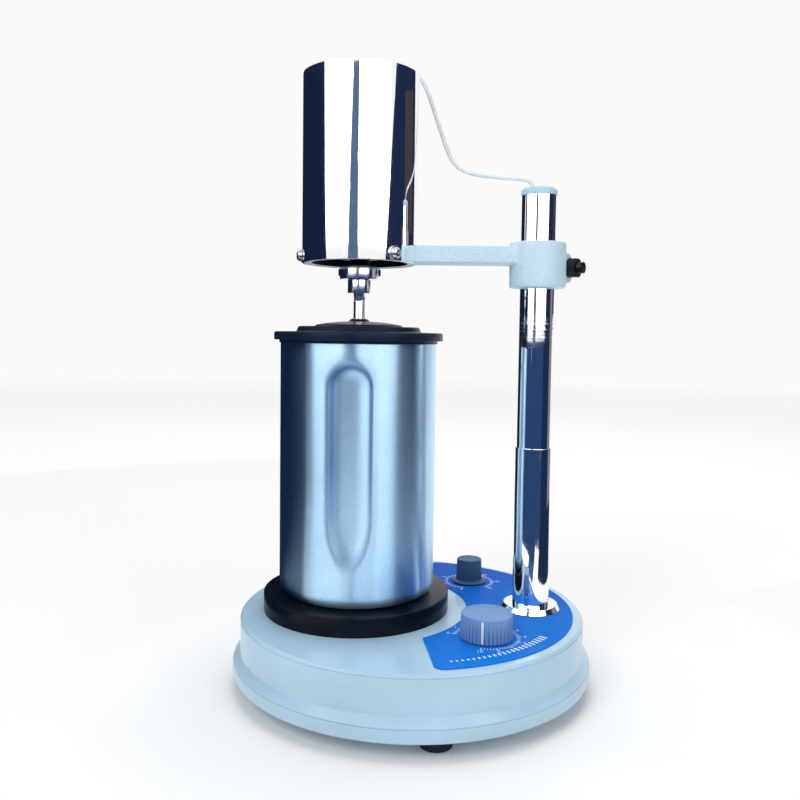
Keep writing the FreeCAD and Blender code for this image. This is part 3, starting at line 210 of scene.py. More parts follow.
def rounded(outline: Sequence[tuple[float, ...]], closed: bool = True, parts: int = 5) -> list[tuple[float, float]]:
    """Round the corners of an outline that carry a radius.

    Args:
        outline: Corners as (radius, level) or (radius, level, rounding).
        closed: Whether the last corner runs back to the first.
        parts: How many edges make each rounded corner.

    Returns:
        The corners and the points of their arcs.
    """
    points: list[tuple[float, float]] = []
    count = len(outline)
    for index, corner in enumerate(outline):
        here = Vector(corner[:2])
        if len(corner) < 3 or (not closed and index in (0, count - 1)):
            points.append(tuple(here))
            continue
        before = (Vector(outline[index - 1][:2]) - here).normalized()
        after = (Vector(outline[(index + 1) % count][:2]) - here).normalized()
        half = before.angle(after) / 2
        centre = here + (before + after).normalized() * (corner[2] / math.sin(half))
        first = here + before * (corner[2] / math.tan(half)) - centre
        last = here + after * (corner[2] / math.tan(half)) - centre
        sweep = first.angle_signed(last)
        for step in range(parts + 1):
            turned_point = Matrix.Rotation(-sweep * step / parts, 2) @ first
            points.append(tuple(centre + turned_point))
    return points


def turned(
    name: str,
    outline: Sequence[tuple[float, ...]],
    centre: tuple[float, float] = (0.0, 0.0),
    closed: bool = True,
    steps: int = 160,
    angle: float = 30.0,
    parts: int = 5,
    sweep: float = 360.0,
) -> Piece:
    """Turn a piece on the lathe: draw its outline by extruding a point, then spin it.

    Args:
        name: The piece's name.
        outline: Corners as (radius, level) or (radius, level, rounding), in millimetres.
        centre: Where the axis stands.
        closed: Whether the outline runs back to its start.
        steps: How many facets go round.
        angle: Edges sharper than this many degrees stay crisp.
        parts: How many edges make each rounded corner.
        sweep: How far it goes round, in degrees.

    Returns:
        The turned piece.
    """
    points = rounded(outline, closed, parts)
    if closed and points[0][0] > 1e-6:
        points.append(points[0])
    deselect()
    bpy.ops.mesh.primitive_plane_add(size=1.0)
    piece = named(name)
    axis = (centre[0] * MM, centre[1] * MM, 0.0)
    with editing(piece):
        bpy.ops.mesh.merge(type="CENTER")
        start = (axis[0] + points[0][0] * MM, axis[1], points[0][1] * MM)
        bpy.ops.transform.translate(value=start)
        for before, after in zip(points, points[1:]):
            move = ((after[0] - before[0]) * MM, 0.0, (after[1] - before[1]) * MM)
            bpy.ops.mesh.extrude_region_move(TRANSFORM_OT_translate={"value": move})
        bpy.ops.mesh.select_all(action="SELECT")
        bpy.ops.mesh.spin(steps=steps, angle=-math.radians(sweep), center=axis, axis=(0.0, 0.0, 1.0))
        bpy.ops.mesh.select_all(action="SELECT")
        bpy.ops.mesh.remove_doubles(threshold=2e-6)
        bpy.ops.mesh.normals_make_consistent(inside=False)
    return smooth(piece, angle)


def toward(azimuth: float) -> Matrix:
    """The turn that lays a piece's own Z along a level azimuth.

    Args:
        azimuth: The direction in degrees from +X.

    Returns:
        A rotation matrix.
    """
    return Euler((0.0, math.pi / 2, math.radians(azimuth))).to_matrix().to_4x4()


def at(circle: float, azimuth: float, centre: tuple[float, float] = (0.0, 0.0)) -> tuple[float, float]:
    """A place on a circle.

    Args:
        circle: The circle's radius.
        azimuth: The direction in degrees.
        centre: The circle's centre.

    Returns:
        The place's x and y.
    """
    turn = math.radians(azimuth)
    return centre[0] + circle * math.cos(turn), centre[1] + circle * math.sin(turn)


def moved(piece: Piece, place: Sequence[float] = (0.0, 0.0, 0.0), turn: Matrix | None = None) -> Piece:
    """Turn a piece about the origin, then move it, in its mesh.

    Args:
        piece: The piece.
        place: How far it goes, in millimetres.
        turn: The rotation before the move.

    Returns:
        The same piece.
    """
    shift = Matrix.Translation(Vector(place) * MM)
    piece.data.transform(shift @ turn if turn is not None else shift)
    piece.data.update()
    return piece


def copied(piece: Piece, name: str) -> Piece:
    """A copy with its own mesh.

    Args:
        piece: The piece to copy.
        name: The copy's name.

    Returns:
        The copy.
    """
    twin = piece.copy()
    twin.data = piece.data.copy()
    twin.name = name
    bpy.context.scene.collection.objects.link(twin)
    return twin


def joined(name: str, pieces: Sequence[Piece]) -> Piece:
    """Join pieces into one object.

    Args:
        name: The name of the whole.
        pieces: The pieces, of which the first takes in the rest.

    Returns:
        The whole.
    """
    pick(*pieces)
    bpy.ops.object.join()
    whole = bpy.context.object
    whole.name = name
    whole.data.name = name
    return whole


def drum(
    name: str,
    radius: float,
    low: float,
    high: float,
    centre: tuple[float, float] = (0.0, 0.0),
    sides: int = 64,
) -> Piece:
    """A plain drum or prism that stands on its end, as a start or as a cutter.

    Args:
        name: The piece's name.
        radius: To its corners.
        low: The lower end's level.
        high: The upper end's level.
        centre: Where its axis stands.
        sides: How many sides it has.

    Returns:
        The drum.
    """
    deselect()
    bpy.ops.mesh.primitive_cylinder_add(
        vertices=sides,
        radius=radius * MM,
        depth=(high - low) * MM,
        location=(centre[0] * MM, centre[1] * MM, (low + high) / 2 * MM),
    )
    return named(name)


def block(name: str, low: Point, high: Point) -> Piece:
    """A plain block between two corners, as a start or as a cutter.

    Args:
        name: The piece's name.
        low: Its lowest corner.
        high: Its highest corner.

    Returns:
        The block.
    """
    deselect()
    size = [(b - a) * MM for a, b in zip(low, high)]
    middle = [(a + b) / 2 * MM for a, b in zip(low, high)]
    bpy.ops.mesh.primitive_cube_add(size=1.0, location=middle, scale=size)
    return named(name)


def combined(piece: Piece, tools: Sequence[Piece], operation: str = "DIFFERENCE") -> Piece:
    """Cut tools out of a piece, or add them to it, and put the tools away.

    Args:
        piece: The piece that is changed.
        tools: The tools.
        operation: DIFFERENCE, UNION or INTERSECT.

    Returns:
        The same piece.
    """
    for tool in tools:
        apply_modifier(piece, "BOOLEAN", operation=operation, object=tool, solver="EXACT")
        bpy.data.objects.remove(tool)
    return piece


def eased(piece: Piece, width: float, segments: int = 3, angle: float = 35.0) -> Piece:
    """Break the sharp edges of a piece.

    Args:
        piece: The piece.
        width: How wide the bevel is, in millimetres.
        segments: How many faces it has.
        angle: Edges sharper than this many degrees are broken.

    Returns:
        The same piece.
    """
    apply_modifier(
        piece,
        "BEVEL",
        width=width * MM,
        segments=segments,
        limit_method="ANGLE",
        angle_limit=math.radians(angle),
        use_clamp_overlap=True,
    )
    return smooth(piece)


def hexagon(name: str, circumradius: float, low: float, high: float, bore: float = 0.0) -> Piece:
    """A hexagon nut or bolt head with chamfered corners, on the origin's axis.

    Args:
        name: The piece's name.
        circumradius: To its corners.
        low: The lower face's level.
        high: The upper face's level.
        bore: The radius of its hole, or nought.

    Returns:
        The nut or head.
    """
    nut = drum(name, circumradius, low, high, sides=6)
    flat = circumradius * math.cos(math.pi / 6)
    drop = (circumradius - flat) * 0.55
    outline = [(0, low), (flat - 0.1, low), (circumradius + 0.05, low + drop)]
    outline += [(circumradius + 0.05, high - drop), (flat - 0.1, high), (0, high)]
    combined(nut, [turned(name + "_chamfer", outline, steps=48)], "INTERSECT")
    if bore:
        combined(nut, [drum(name + "_bore", bore, low - 1, high + 1, sides=32)])
    return smooth(nut, 25.0)


def threaded(name: str, radius: float, low: float, high: float, pitch: float = 1.25) -> Piece:
    """A threaded stud, with its thread drawn as close rings and a chamfered end.

    Args:
        name: The piece's name.
        radius: The thread's outer radius.
        low: Where the thread starts.
        high: Where it ends.
        pitch: From one ring to the next.

    Returns:
        The stud on the origin's axis.
    """
    outline: list[tuple[float, ...]] = [(0, low)]
    level = low
    while level < high - pitch:
        outline += [(radius, level + 0.1 * pitch), (radius - 0.5 * pitch, level + 0.6 * pitch)]
        level += pitch
    outline += [(radius, level), (radius - 0.8, high), (0, high)]
    return turned(name, outline, steps=40, angle=50.0)


def ride(piece: Piece, body: Body, finish: "Finish", slot: Slot, *nodes: str) -> Piece:
    """Put a finished piece on its body, give it its finish and hide what it stands for.

    Args:
        piece: The finished piece.
        body: The body that it moves with.
        finish: What its surface is.
        slot: The record's name of that finish; not used.
        nodes: The construction's nodes that it stands for.

    Returns:
        The same piece.
    """
    piece.data.materials.clear()
    piece.data.materials.append(finish.material())
    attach(piece, body.value)
    if nodes:
        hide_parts(*nodes)
    LOG.info("%s rides on %s", piece.name, body.value)
    return piece


def dress(node: str, finish: "Finish") -> None:
    """Give a node of the construction its finish and leave its shape alone.

    Args:
        node: The node's name.
        finish: What its surface is.
    """
    piece = bpy.data.objects[node]
    piece.data.materials.clear()
    piece.data.materials.append(finish.material())
    LOG.info("%s keeps its shape", node)


def screen_material(name: str, colour: Colour) -> bpy.types.Material:
    """A dark screen's own dim glow.

    Args:
        name: The screen's name.
        colour: What reflections of it show.

    Returns:
        The material.
    """
    material = bpy.data.materials.new(name)
    material.use_nodes = True
    nodes, links = material.node_tree.nodes, material.node_tree.links
    nodes.remove(nodes["Principled BSDF"])
    glow = nodes.new("ShaderNodeEmission")
    glow.inputs["Color"].default_value = (*colour, 1.0)
    links.new(glow.outputs[0], nodes["Material Output"].inputs["Surface"])
    return material


# Finishes


class Mixer:
    """A material's nodes: one shader, and short calls that add what feeds it."""

    def __init__(self, name: str) -> None:
        """Start a material.

        Args:
            name: The material's name.
        """
        self.material = bpy.data.materials.new(name)
        self.material.use_nodes = True
        self.nodes = self.material.node_tree.nodes
        self.links = self.material.node_tree.links
        self.shader = self.nodes["Principled BSDF"]
        self.place = self.nodes.new("ShaderNodeTexCoord").outputs["Object"]

    def plug(self, socket: bpy.types.NodeSocket, value: object) -> None:
        """Link a socket to another, or set its number or colour.

        Args:
            socket: The input.
            value: An output, a number, a colour or a vector.
        """
        if isinstance(value, bpy.types.NodeSocket):
            self.links.new(value, socket)
        elif socket.type == "RGBA" and len(value) == 3:
            socket.default_value = (*value, 1.0)
        else:
            socket.default_value = value

    def set(self, **inputs: object) -> None:
        """Set the shader's inputs, named with underscores for spaces.

        Args:
            inputs: The values or outputs for them.
        """
        for key, value in inputs.items():
            words = key.split("_")
            title = " ".join(word if word == "IOR" else word.capitalize() for word in words)
            self.plug(self.shader.inputs[title], value)

    def sum(self, operation: str, first: object, second: object = 0.0, third: object = 0.0) -> bpy.types.NodeSocket:
        """One Math node.

        Args:
            operation: Its operation.
            first: Its first value or socket.
            second: Its second one.
            third: Its third one.

        Returns:
            Its output.
        """
        node = self.nodes.new("ShaderNodeMath")
        node.operation = operation
        for socket, value in zip(node.inputs, (first, second, third)):
            self.plug(socket, value)
        return node.outputs[0]

    def mapped(self, stretch: Point, shift: Point = (0.0, 0.0, 0.0)) -> bpy.types.NodeSocket:
        """The piece's own coordinates, shifted in metres and then stretched.

        Args:
            stretch: How much finer the pattern is along each axis.
            shift: Where the pattern's centre is put.

        Returns:
            The mapped coordinates.
        """
        node = self.nodes.new("ShaderNodeMapping")
        node.vector_type = "TEXTURE"
        self.plug(node.inputs["Vector"], self.place)
        node.inputs["Location"].default_value = shift
        node.inputs["Scale"].default_value = tuple(1.0 / value for value in stretch)
        return node.outputs[0]

    def noise(
        self,
        scale: float,
        detail: float = 3.0,
        roughness: float = 0.5,
        stretch: Point = (1.0, 1.0, 1.0),
    ) -> bpy.types.NodeSocket:
        """A cloud of noise.

        Args:
            scale: Clouds per metre.
            detail: How many finer layers it has.
            roughness: How strong they are.
            stretch: How much finer it is along each axis.

        Returns:
            The noise from 0 to 1.
        """
        node = self.nodes.new("ShaderNodeTexNoise")
        self.plug(node.inputs["Vector"], self.mapped(stretch))
        node.inputs["Scale"].default_value = scale
        node.inputs["Detail"].default_value = detail
        node.inputs["Roughness"].default_value = roughness
        return node.outputs["Fac"]

    def cells(self, scale: float, feature: str = "F1") -> bpy.types.NodeSocket:
        """A pattern of grains.

        Args:
            scale: Grains per metre.
            feature: The distance that is measured.

        Returns:
            The distance from the grains' centres.
        """
        node = self.nodes.new("ShaderNodeTexVoronoi")
        node.feature = feature
        self.plug(node.inputs["Vector"], self.place)
        node.inputs["Scale"].default_value = scale
        return node.outputs["Distance"]

    def lines(self, pitch: float, grain: Grain, centre: Point = (0.0, 0.0, 0.0)) -> bpy.types.NodeSocket:
        """Fine tool marks.

        Args:
            pitch: From one mark to the next, in millimetres.
            grain: Whether they run round the axis or along it.
            centre: Where that axis stands, in metres.

        Returns:
            The marks from 0 to 1.
        """
        node = self.nodes.new("ShaderNodeTexWave")
        node.wave_type = "BANDS" if grain is Grain.ROUND else "RINGS"
        if grain is Grain.ROUND:
            node.bands_direction = "Z"
        else:
            node.rings_direction = "Z"
        self.plug(node.inputs["Vector"], self.mapped((1.0, 1.0, 1.0), centre))
        node.inputs["Scale"].default_value = 0.314 / (pitch * MM)
        node.inputs["Distortion"].default_value = 1.5
        node.inputs["Detail Scale"].default_value = 2.0
        return node.outputs["Fac"]

    def spread(self, value: object, low: float, high: float, start: float = 0.0, end: float = 1.0) -> bpy.types.NodeSocket:
        """Spread a value over a new range, without running out of it.

        Args:
            value: The value.
            low: What start becomes.
            high: What end becomes.
            start: Where the old range starts.
            end: Where it ends.

        Returns:
            The new value.
        """
        node = self.nodes.new("ShaderNodeMapRange")
        for key, item in (("Value", value), ("From Min", start), ("From Max", end), ("To Min", low), ("To Max", high)):
            self.plug(node.inputs[key], item)
        return node.outputs[0]

    def blend(self, share: object, first: object, second: object) -> bpy.types.NodeSocket:
        """Mix two colours.

        Args:
            share: How much of the second one there is.
            first: A colour or a colour's output.
            second: The other.

        Returns:
            The mixed colour.
        """
        node = self.nodes.new("ShaderNodeMix")
        node.data_type = "RGBA"
        self.plug(node.inputs["Factor"], share)
        self.plug(node.inputs[6], first)
        self.plug(node.inputs[7], second)
        return node.outputs[2]

    def raised(self, height: object, depth: float, below: object = None, strength: float = 1.0) -> bpy.types.NodeSocket:
        """Raise the surface by a pattern.

        Args:
            height: The pattern.
            depth: How deep it is, in millimetres.
            below: Another raised surface that this one lies on.
            strength: How much of it shows.

        Returns:
            The new normal.
        """
        node = self.nodes.new("ShaderNodeBump")
        node.inputs["Strength"].default_value = strength
        node.inputs["Distance"].default_value = depth * MM
        self.plug(node.inputs["Height"], height)
        if below is not None:
            self.plug(node.inputs["Normal"], below)
        return node.outputs[0]


@dataclass(frozen=True)
class Finish:
    """What a surface is made of. Each kind mixes its own material, once."""

    name: str

    @cache
    def material(self) -> bpy.types.Material:
        """The finish's material, mixed at its first use.

        Returns:
            The material.
        """
        mixer = Mixer(self.name)
        self.mix(mixer)
        return mixer.material

    def mix(self, mixer: Mixer) -> None:
        """Add the nodes that make this finish.

        Args:
            mixer: The material's nodes.
        """
        raise NotImplementedError


@dataclass(frozen=True)
class MirrorChrome(Finish):
    """Polished chrome: a slightly wavy mirror with dust, haze and hairline scratches."""

    tint: Colour = (0.96, 0.98, 1.0)
    wave: float = 1.6
    haze: float = 0.035
    scuff_level: float = 0.0

    def mix(self, mixer: Mixer) -> None:
        """Mix waviness, hairlines and specks over the mirror."""
        speck = mixer.spread(mixer.noise(2600.0, 2.0, 0.6), 0.0, 1.0, 0.66, 0.74)
        hair = mixer.spread(mixer.noise(60.0, 2.0, 0.5, (14.0, 14.0, 0.7)), 0.0, 1.0, 0.66, 0.72)
        cloud = mixer.noise(22.0, 3.0, 0.6)
        rough = mixer.sum("MULTIPLY_ADD", cloud, 0.04, self.haze - 0.02)
        rough = mixer.sum("MULTIPLY_ADD", speck, 0.22, rough)
        rough = mixer.sum("MULTIPLY_ADD", hair, 0.1, rough)
        wavy = mixer.raised(mixer.noise(9.0, 1.0, 0.4, (1.0, 1.0, 0.45)), self.wave)
        if self.scuff_level:
            band = mixer.nodes.new("ShaderNodeSeparateXYZ")
            mixer.plug(band.inputs[0], mixer.place)
            height = mixer.sum("SUBTRACT", band.outputs["Z"], self.scuff_level * MM)
            near = mixer.spread(mixer.sum("ABSOLUTE", height), 1.0, 0.0, 0.003, 0.011)
            ring = mixer.spread(mixer.noise(900.0, 3.0, 0.7, (0.05, 0.05, 1.0)), 0.0, 1.0, 0.5, 0.62)
            worn = mixer.sum("MULTIPLY", near, ring)
            rough = mixer.sum("MULTIPLY_ADD", worn, 0.3, rough)
            wavy = mixer.raised(worn, 0.05, wavy, 0.3)
        colour = mixer.blend(mixer.sum("MULTIPLY", cloud, 0.2), self.tint, tuple(0.85 * c for c in self.tint))
        mixer.set(Base_Color=colour, Metallic=1.0, Roughness=rough, Normal=wavy)


@dataclass(frozen=True)
class SatinSteel(Finish):
    """Drawn stainless steel, polished on the lathe, so that its shine runs up and down."""

    tint: Colour = (0.5, 0.78, 1.0)
    satin: float = 0.32
    pull: float = 0.96

    def mix(self, mixer: Mixer) -> None:
        """Mix the lathe's grain, speckle, faint handling marks, and a painted shade on the flute walls from a vertex
        layer, which also makes them rougher.
        """
        grain = mixer.noise(1500.0, 3.0, 0.6, (1.0, 1.0, 0.6))
        streak = mixer.noise(70.0, 3.0, 0.6, (0.12, 0.12, 3.0))
        cloud = mixer.noise(26.0, 4.0, 0.6)
        rough = mixer.sum("MULTIPLY_ADD", cloud, 0.06, self.satin - 0.03)
        surface = mixer.raised(grain, 0.003)
        surface = mixer.raised(streak, 0.03, surface)
        surface = mixer.raised(mixer.noise(14.0, 1.0, 0.4), 1.2, surface)
        darker = tuple(0.82 * c for c in self.tint)
        colour = mixer.blend(mixer.spread(cloud, 0.0, 1.0, 0.35, 0.8), self.tint, darker)
        colour = mixer.blend(mixer.spread(grain, 0.0, 0.5, 0.45, 0.75), colour, (0.88, 0.94, 1.0))
        # Painted shade: a vertex layer darkens the flute walls to a deep blue, most at their tops and broadly on the
        # left wall; it also roughens them.
        pressed = mixer.nodes.new("ShaderNodeAttribute")
        pressed.attribute_name = "pressed"
        colour = mixer.blend(pressed.outputs["Fac"], colour, (0.08, 0.17, 0.38))
        rough = mixer.sum("MULTIPLY_ADD", pressed.outputs["Fac"], 0.08, rough)
        tangent = mixer.nodes.new("ShaderNodeTangent")
        tangent.direction_type = "RADIAL"
        tangent.axis = "Z"
        mixer.set(Base_Color=colour, Metallic=1.0, Roughness=rough, Normal=surface)
        mixer.set(Anisotropic=self.pull, Anisotropic_Rotation=0.25, Tangent=tangent.outputs[0])


@dataclass(frozen=True)
class TurnedMetal(Finish):
    """Metal off the lathe or the mill, with its tool marks."""

    tint: Colour = (0.6, 0.62, 0.66)
    shine: float = 0.2
    pitch: float = 0.35
    grain: Grain = Grain.ROUND
    depth: float = 0.008
    metallic: float = 1.0

    def mix(self, mixer: Mixer) -> None:
        """Mix tool marks, oil film and small dents."""
        if self.grain is Grain.EVEN:
            marks = mixer.noise(1.0 / (self.pitch * MM), 3.0, 0.6)
        else:
            marks = mixer.lines(self.pitch, self.grain, (CUP_X * MM, 0.0, 0.0))
        film = mixer.noise(120.0, 4.0, 0.6)
        rough = mixer.sum("MULTIPLY_ADD", film, 0.16, self.shine - 0.08)
        rough = mixer.sum("MULTIPLY_ADD", marks, 0.05, rough)
        surface = mixer.raised(marks, self.depth)
        surface = mixer.raised(mixer.noise(300.0, 2.0), 0.02, surface)
        darker = tuple(0.7 * c for c in self.tint)
        colour = mixer.blend(mixer.spread(film, 0.0, 1.0, 0.35, 0.85), self.tint, darker)
        mixer.set(Base_Color=colour, Metallic=self.metallic, Roughness=rough, Normal=surface)


@dataclass(frozen=True)
class StovePaint(Finish):
    """Glossy stove enamel with a slight orange peel, or a coarse one on a casting."""

    tint: Colour = (0.5, 0.6, 0.68)
    shine: float = 0.32
    peel: float = 0.03
    peel_scale: float = 330.0
    coat: float = 0.4
    cast: float = 0.0

    def mix(self, mixer: Mixer) -> None:
        """Mix orange peel, faint clouds and dust, and the casting's lumps where it has them, with painted shade in the
        lumps' hollows.
        """
        cloud = mixer.noise(16.0, 4.0, 0.55)
        peel = mixer.noise(self.peel_scale, 2.0, 0.45)
        dust = mixer.spread(mixer.noise(1900.0, 2.0, 0.6), 0.0, 1.0, 0.7, 0.8)
        lighter = tuple(min(1.0, 1.06 * c) for c in self.tint)
        darker = tuple(0.93 * c for c in self.tint)
        colour = mixer.blend(mixer.spread(cloud, 0.0, 1.0, 0.3, 0.7), darker, lighter)
        colour = mixer.blend(mixer.sum("MULTIPLY", dust, 0.3), colour, tuple(0.6 * c for c in self.tint))
        rough = mixer.sum("MULTIPLY_ADD", cloud, 0.12, self.shine - 0.06)
        surface = mixer.raised(peel, self.peel)
        if self.cast:
            lumps = mixer.noise(520.0, 3.0, 0.65)
            pits = mixer.spread(mixer.cells(420.0), 0.0, 1.0, 0.05, 0.4)
            surface = mixer.raised(lumps, self.cast, surface)
            surface = mixer.raised(pits, 0.35 * self.cast, surface)
            # Painted shade: the hollows between the casting's lumps are darkened.
            hollow = mixer.spread(lumps, 0.35, 0.0, 0.3, 0.5)
            colour = mixer.blend(hollow, colour, tuple(0.75 * c for c in self.tint))
        mixer.set(Base_Color=colour, Roughness=rough, Normal=surface)
        mixer.set(Coat_Weight=self.coat, Coat_Roughness=0.12, Specular_IOR_Level=0.3)


@dataclass(frozen=True)
class Plastic(Finish):
    """Moulded plastic or rubber, with its fine grain, flow and handling smears."""

    tint: Colour = (0.02, 0.02, 0.022)
    shine: float = 0.3
    grain: float = 0.01
    grain_scale: float = 1600.0
    smear: float = 0.14
    coat: float = 0.0
    dust: float = 0.5
    gloss: float = 0.3

    def mix(self, mixer: Mixer) -> None:
        """Mix mould grain, smears and specks of dust."""
        smear = mixer.noise(38.0, 4.0, 0.6, (1.0, 1.0, 1.6))
        grain = mixer.noise(self.grain_scale, 3.0, 0.6)
        dust = mixer.spread(mixer.noise(2300.0, 2.0, 0.6), 0.0, 0.5, 0.69, 0.78)
        rough = mixer.sum("MULTIPLY_ADD", smear, self.smear, self.shine - self.smear / 2)
        rough = mixer.sum("MULTIPLY_ADD", dust, 0.3, rough)
        lighter = tuple(min(1.0, 1.15 * c + 0.004) for c in self.tint)
        colour = mixer.blend(mixer.spread(smear, 0.0, 1.0, 0.3, 0.7), tuple(0.9 * c for c in self.tint), lighter)
        colour = mixer.blend(mixer.sum("MULTIPLY", dust, self.dust), colour, tuple(0.7 * c + 0.12 for c in self.tint))
        mixer.set(Base_Color=colour, Roughness=rough, Normal=mixer.raised(grain, self.grain))
        mixer.set(Coat_Weight=self.coat, Coat_Roughness=0.08, Specular_IOR_Level=self.gloss)


@dataclass(frozen=True)
class PanelPaint(Finish):
    """The printed blue of the control panel, with painted shade that makes it deeper towards the back."""

    # near is the front's blue, far the darker blue of the painted shade at the back.
    near: Colour = (0.01, 0.21, 0.74)
    far: Colour = (0.01, 0.1, 0.5)

    def mix(self, mixer: Mixer) -> None:
        """Mix painted shade that deepens the blue towards the back, the printing's grain and faint wiping marks."""
        split = mixer.nodes.new("ShaderNodeSeparateXYZ")
        mixer.plug(split.inputs[0], mixer.place)
        # Painted shade: the blue darkens from front to back along Y, broken up by a cloud.
        depth = mixer.spread(split.outputs["Y"], 0.0, 1.0, -0.11, 0.09)
        cloud = mixer.noise(30.0, 3.0, 0.6)
        depth = mixer.sum("MULTIPLY_ADD", mixer.sum("SUBTRACT", cloud, 0.5), 0.3, depth)
        grain = mixer.noise(1400.0, 2.0, 0.5)
        colour = mixer.blend(depth, self.near, self.far)
        colour = mixer.blend(mixer.sum("MULTIPLY", grain, 0.12), colour, (0.02, 0.2, 0.75))
        rough = mixer.sum("MULTIPLY_ADD", cloud, 0.16, 0.34)
        mixer.set(Base_Color=colour, Roughness=rough, Normal=mixer.raised(grain, 0.008))
        mixer.set(Specular_IOR_Level=0.02)


@dataclass(frozen=True)
class Ink(Finish):
    """Printed or engraved marks, slightly uneven."""

    tint: Colour = (0.75, 0.82, 0.88)

    def mix(self, mixer: Mixer) -> None:
        """Mix the ink's uneven cover."""
        cover = mixer.noise(1300.0, 2.0, 0.6)
        colour = mixer.blend(mixer.spread(cover, 0.0, 0.5, 0.5, 0.8), self.tint, tuple(0.6 * c for c in self.tint))
        mixer.set(Base_Color=colour, Roughness=mixer.spread(cover, 0.4, 0.6), Normal=mixer.raised(cover, 0.01))


@dataclass(frozen=True)
class Winding(Finish):
    """Enamelled wire, lacquered, whose turns run round the coil."""

    tint: Colour = (0.45, 0.17, 0.06)
    pitch: float = 0.8

    def mix(self, mixer: Mixer) -> None:
        """Mix the turns of wire and the drops of lacquer on them."""
        turns = mixer.lines(self.pitch, Grain.ALONG, (CUP_X * MM, 0.0, 0.0))
        lacquer = mixer.noise(220.0, 3.0, 0.6)
        colour = mixer.blend(turns, tuple(0.35 * c for c in self.tint), self.tint)
        colour = mixer.blend(mixer.spread(lacquer, 0.0, 0.6, 0.5, 0.8), colour, (0.12, 0.04, 0.02))
        mixer.set(Base_Color=colour, Metallic=0.6, Normal=mixer.raised(turns, 0.15))
        mixer.set(Roughness=mixer.spread(lacquer, 0.25, 0.5), Coat_Weight=0.5, Coat_Roughness=0.2)


@dataclass(frozen=True)
class Segments(Finish):
    """A commutator's copper bars with their gaps."""

    bars: int = 24

    def mix(self, mixer: Mixer) -> None:
        """Mix bars round the shaft's axis and the brushes' dark track."""
        split = mixer.nodes.new("ShaderNodeSeparateXYZ")
        mixer.plug(split.inputs[0], mixer.mapped((1.0, 1.0, 1.0), (CUP_X * MM, 0.0, 0.0)))
        angle = mixer.sum("ARCTAN2", split.outputs["Y"], split.outputs["X"])
        comb = mixer.sum("SINE", mixer.sum("MULTIPLY", angle, float(self.bars)))
        gap = mixer.spread(comb, 0.0, 1.0, 0.86, 0.96)
        track = mixer.noise(500.0, 3.0, 0.6, (0.1, 0.1, 1.0))
        colour = mixer.blend(mixer.sum("MULTIPLY", track, 0.8), (0.6, 0.26, 0.12), (0.2, 0.1, 0.07))
        colour = mixer.blend(gap, colour, (0.03, 0.025, 0.02))
        mixer.set(Base_Color=colour, Metallic=0.9, Roughness=mixer.spread(track, 0.2, 0.5))
        mixer.set(Normal=mixer.raised(mixer.sum("SUBTRACT", 1.0, gap), 0.3))


@dataclass(frozen=True)
class CircuitBoard(Finish):
    """Green lacquer over copper tracks."""

    def mix(self, mixer: Mixer) -> None:
        """Mix tracks that run square to each other, and the weave under the lacquer."""
        node = mixer.nodes.new("ShaderNodeTexBrick")
        mixer.plug(node.inputs["Vector"], mixer.place)
        node.inputs["Scale"].default_value = 95.0
        node.inputs["Mortar Size"].default_value = 0.035
        node.inputs["Mortar Smooth"].default_value = 0.2
        tracks = node.outputs["Fac"]
        weave = mixer.noise(1200.0, 2.0, 0.5)
        colour = mixer.blend(weave, (0.008, 0.09, 0.035), (0.012, 0.13, 0.05))
        colour = mixer.blend(tracks, colour, (0.05, 0.3, 0.1))
        mixer.set(Base_Color=colour, Roughness=0.28, Normal=mixer.raised(tracks, 0.05))
        mixer.set(Coat_Weight=0.4, Coat_Roughness=0.1)


BASE_PAINT = StovePaint("base_enamel", (0.45, 0.65, 0.81), 0.3, 0.02, 300.0, 0.35)
ARM_PAINT = StovePaint("cast_enamel", (0.59, 0.79, 0.92), 0.45, 0.06, 420.0, 0.15, 0.4)
PANEL = PanelPaint("panel_print")
COVER_CHROME = MirrorChrome("cover_chrome", wave=1.6)
POST_CHROME = MirrorChrome("post_chrome", wave=0.5, haze=0.04, scuff_level=248.5)
NUT_CHROME = MirrorChrome("nut_chrome", wave=0.8, haze=0.05)
CUP_STEEL = SatinSteel("cup_satin")
COLLAR_STEEL = TurnedMetal("collar_steel", (0.9, 0.93, 0.98), 0.11, 0.3, Grain.ROUND, 0.002)
SHAFT_STEEL = TurnedMetal("shaft_steel", (0.8, 0.83, 0.88), 0.16, 0.25, Grain.ROUND, 0.003)
SCREW_STEEL = TurnedMetal("screw_steel", (0.64, 0.65, 0.68), 0.2, 0.4, Grain.EVEN)
BLACK_OXIDE = TurnedMetal("black_oxide", (0.03, 0.032, 0.04), 0.32, 0.5, Grain.EVEN, 0.015, 0.8)
GALVANISED = TurnedMetal("galvanised", (0.5, 0.53, 0.56), 0.34, 0.9, Grain.EVEN, 0.02)
BRONZE = TurnedMetal("sintered_bronze", (0.56, 0.44, 0.26), 0.3, 0.5, Grain.EVEN, 0.02)
# Near-black iron that stands in for shade: painted shade on the arm opening's wall and on the motor's lower bracket
# seen through it.
SHADE_BLACK_IRON = TurnedMetal("shade_black_iron", (0.03, 0.034, 0.05), 0.4, 0.6, Grain.ROUND, 0.01)
ALLOY = TurnedMetal("cast_alloy", (0.46, 0.48, 0.5), 0.42, 0.8, Grain.EVEN, 0.06)
LAMINATIONS = TurnedMetal("laminations", (0.22, 0.23, 0.25), 0.4, 0.5, Grain.ROUND, 0.1, 0.8)
COPPER = Winding("enamelled_wire")
COMMUTATOR = Segments("commutator_bars")
BOARD = CircuitBoard("board_lacquer")
LID_BLACK = Plastic("lid_black", (0.006, 0.013, 0.036), 0.3, 0.012, 900.0, 0.16, 0.0, 0.1, 0.1)
SEAT_BLACK = Plastic("seat_black", (0.0025, 0.005, 0.012), 0.22, 0.006, 1100.0, 0.16, 0.0, 0.06, 0.1)
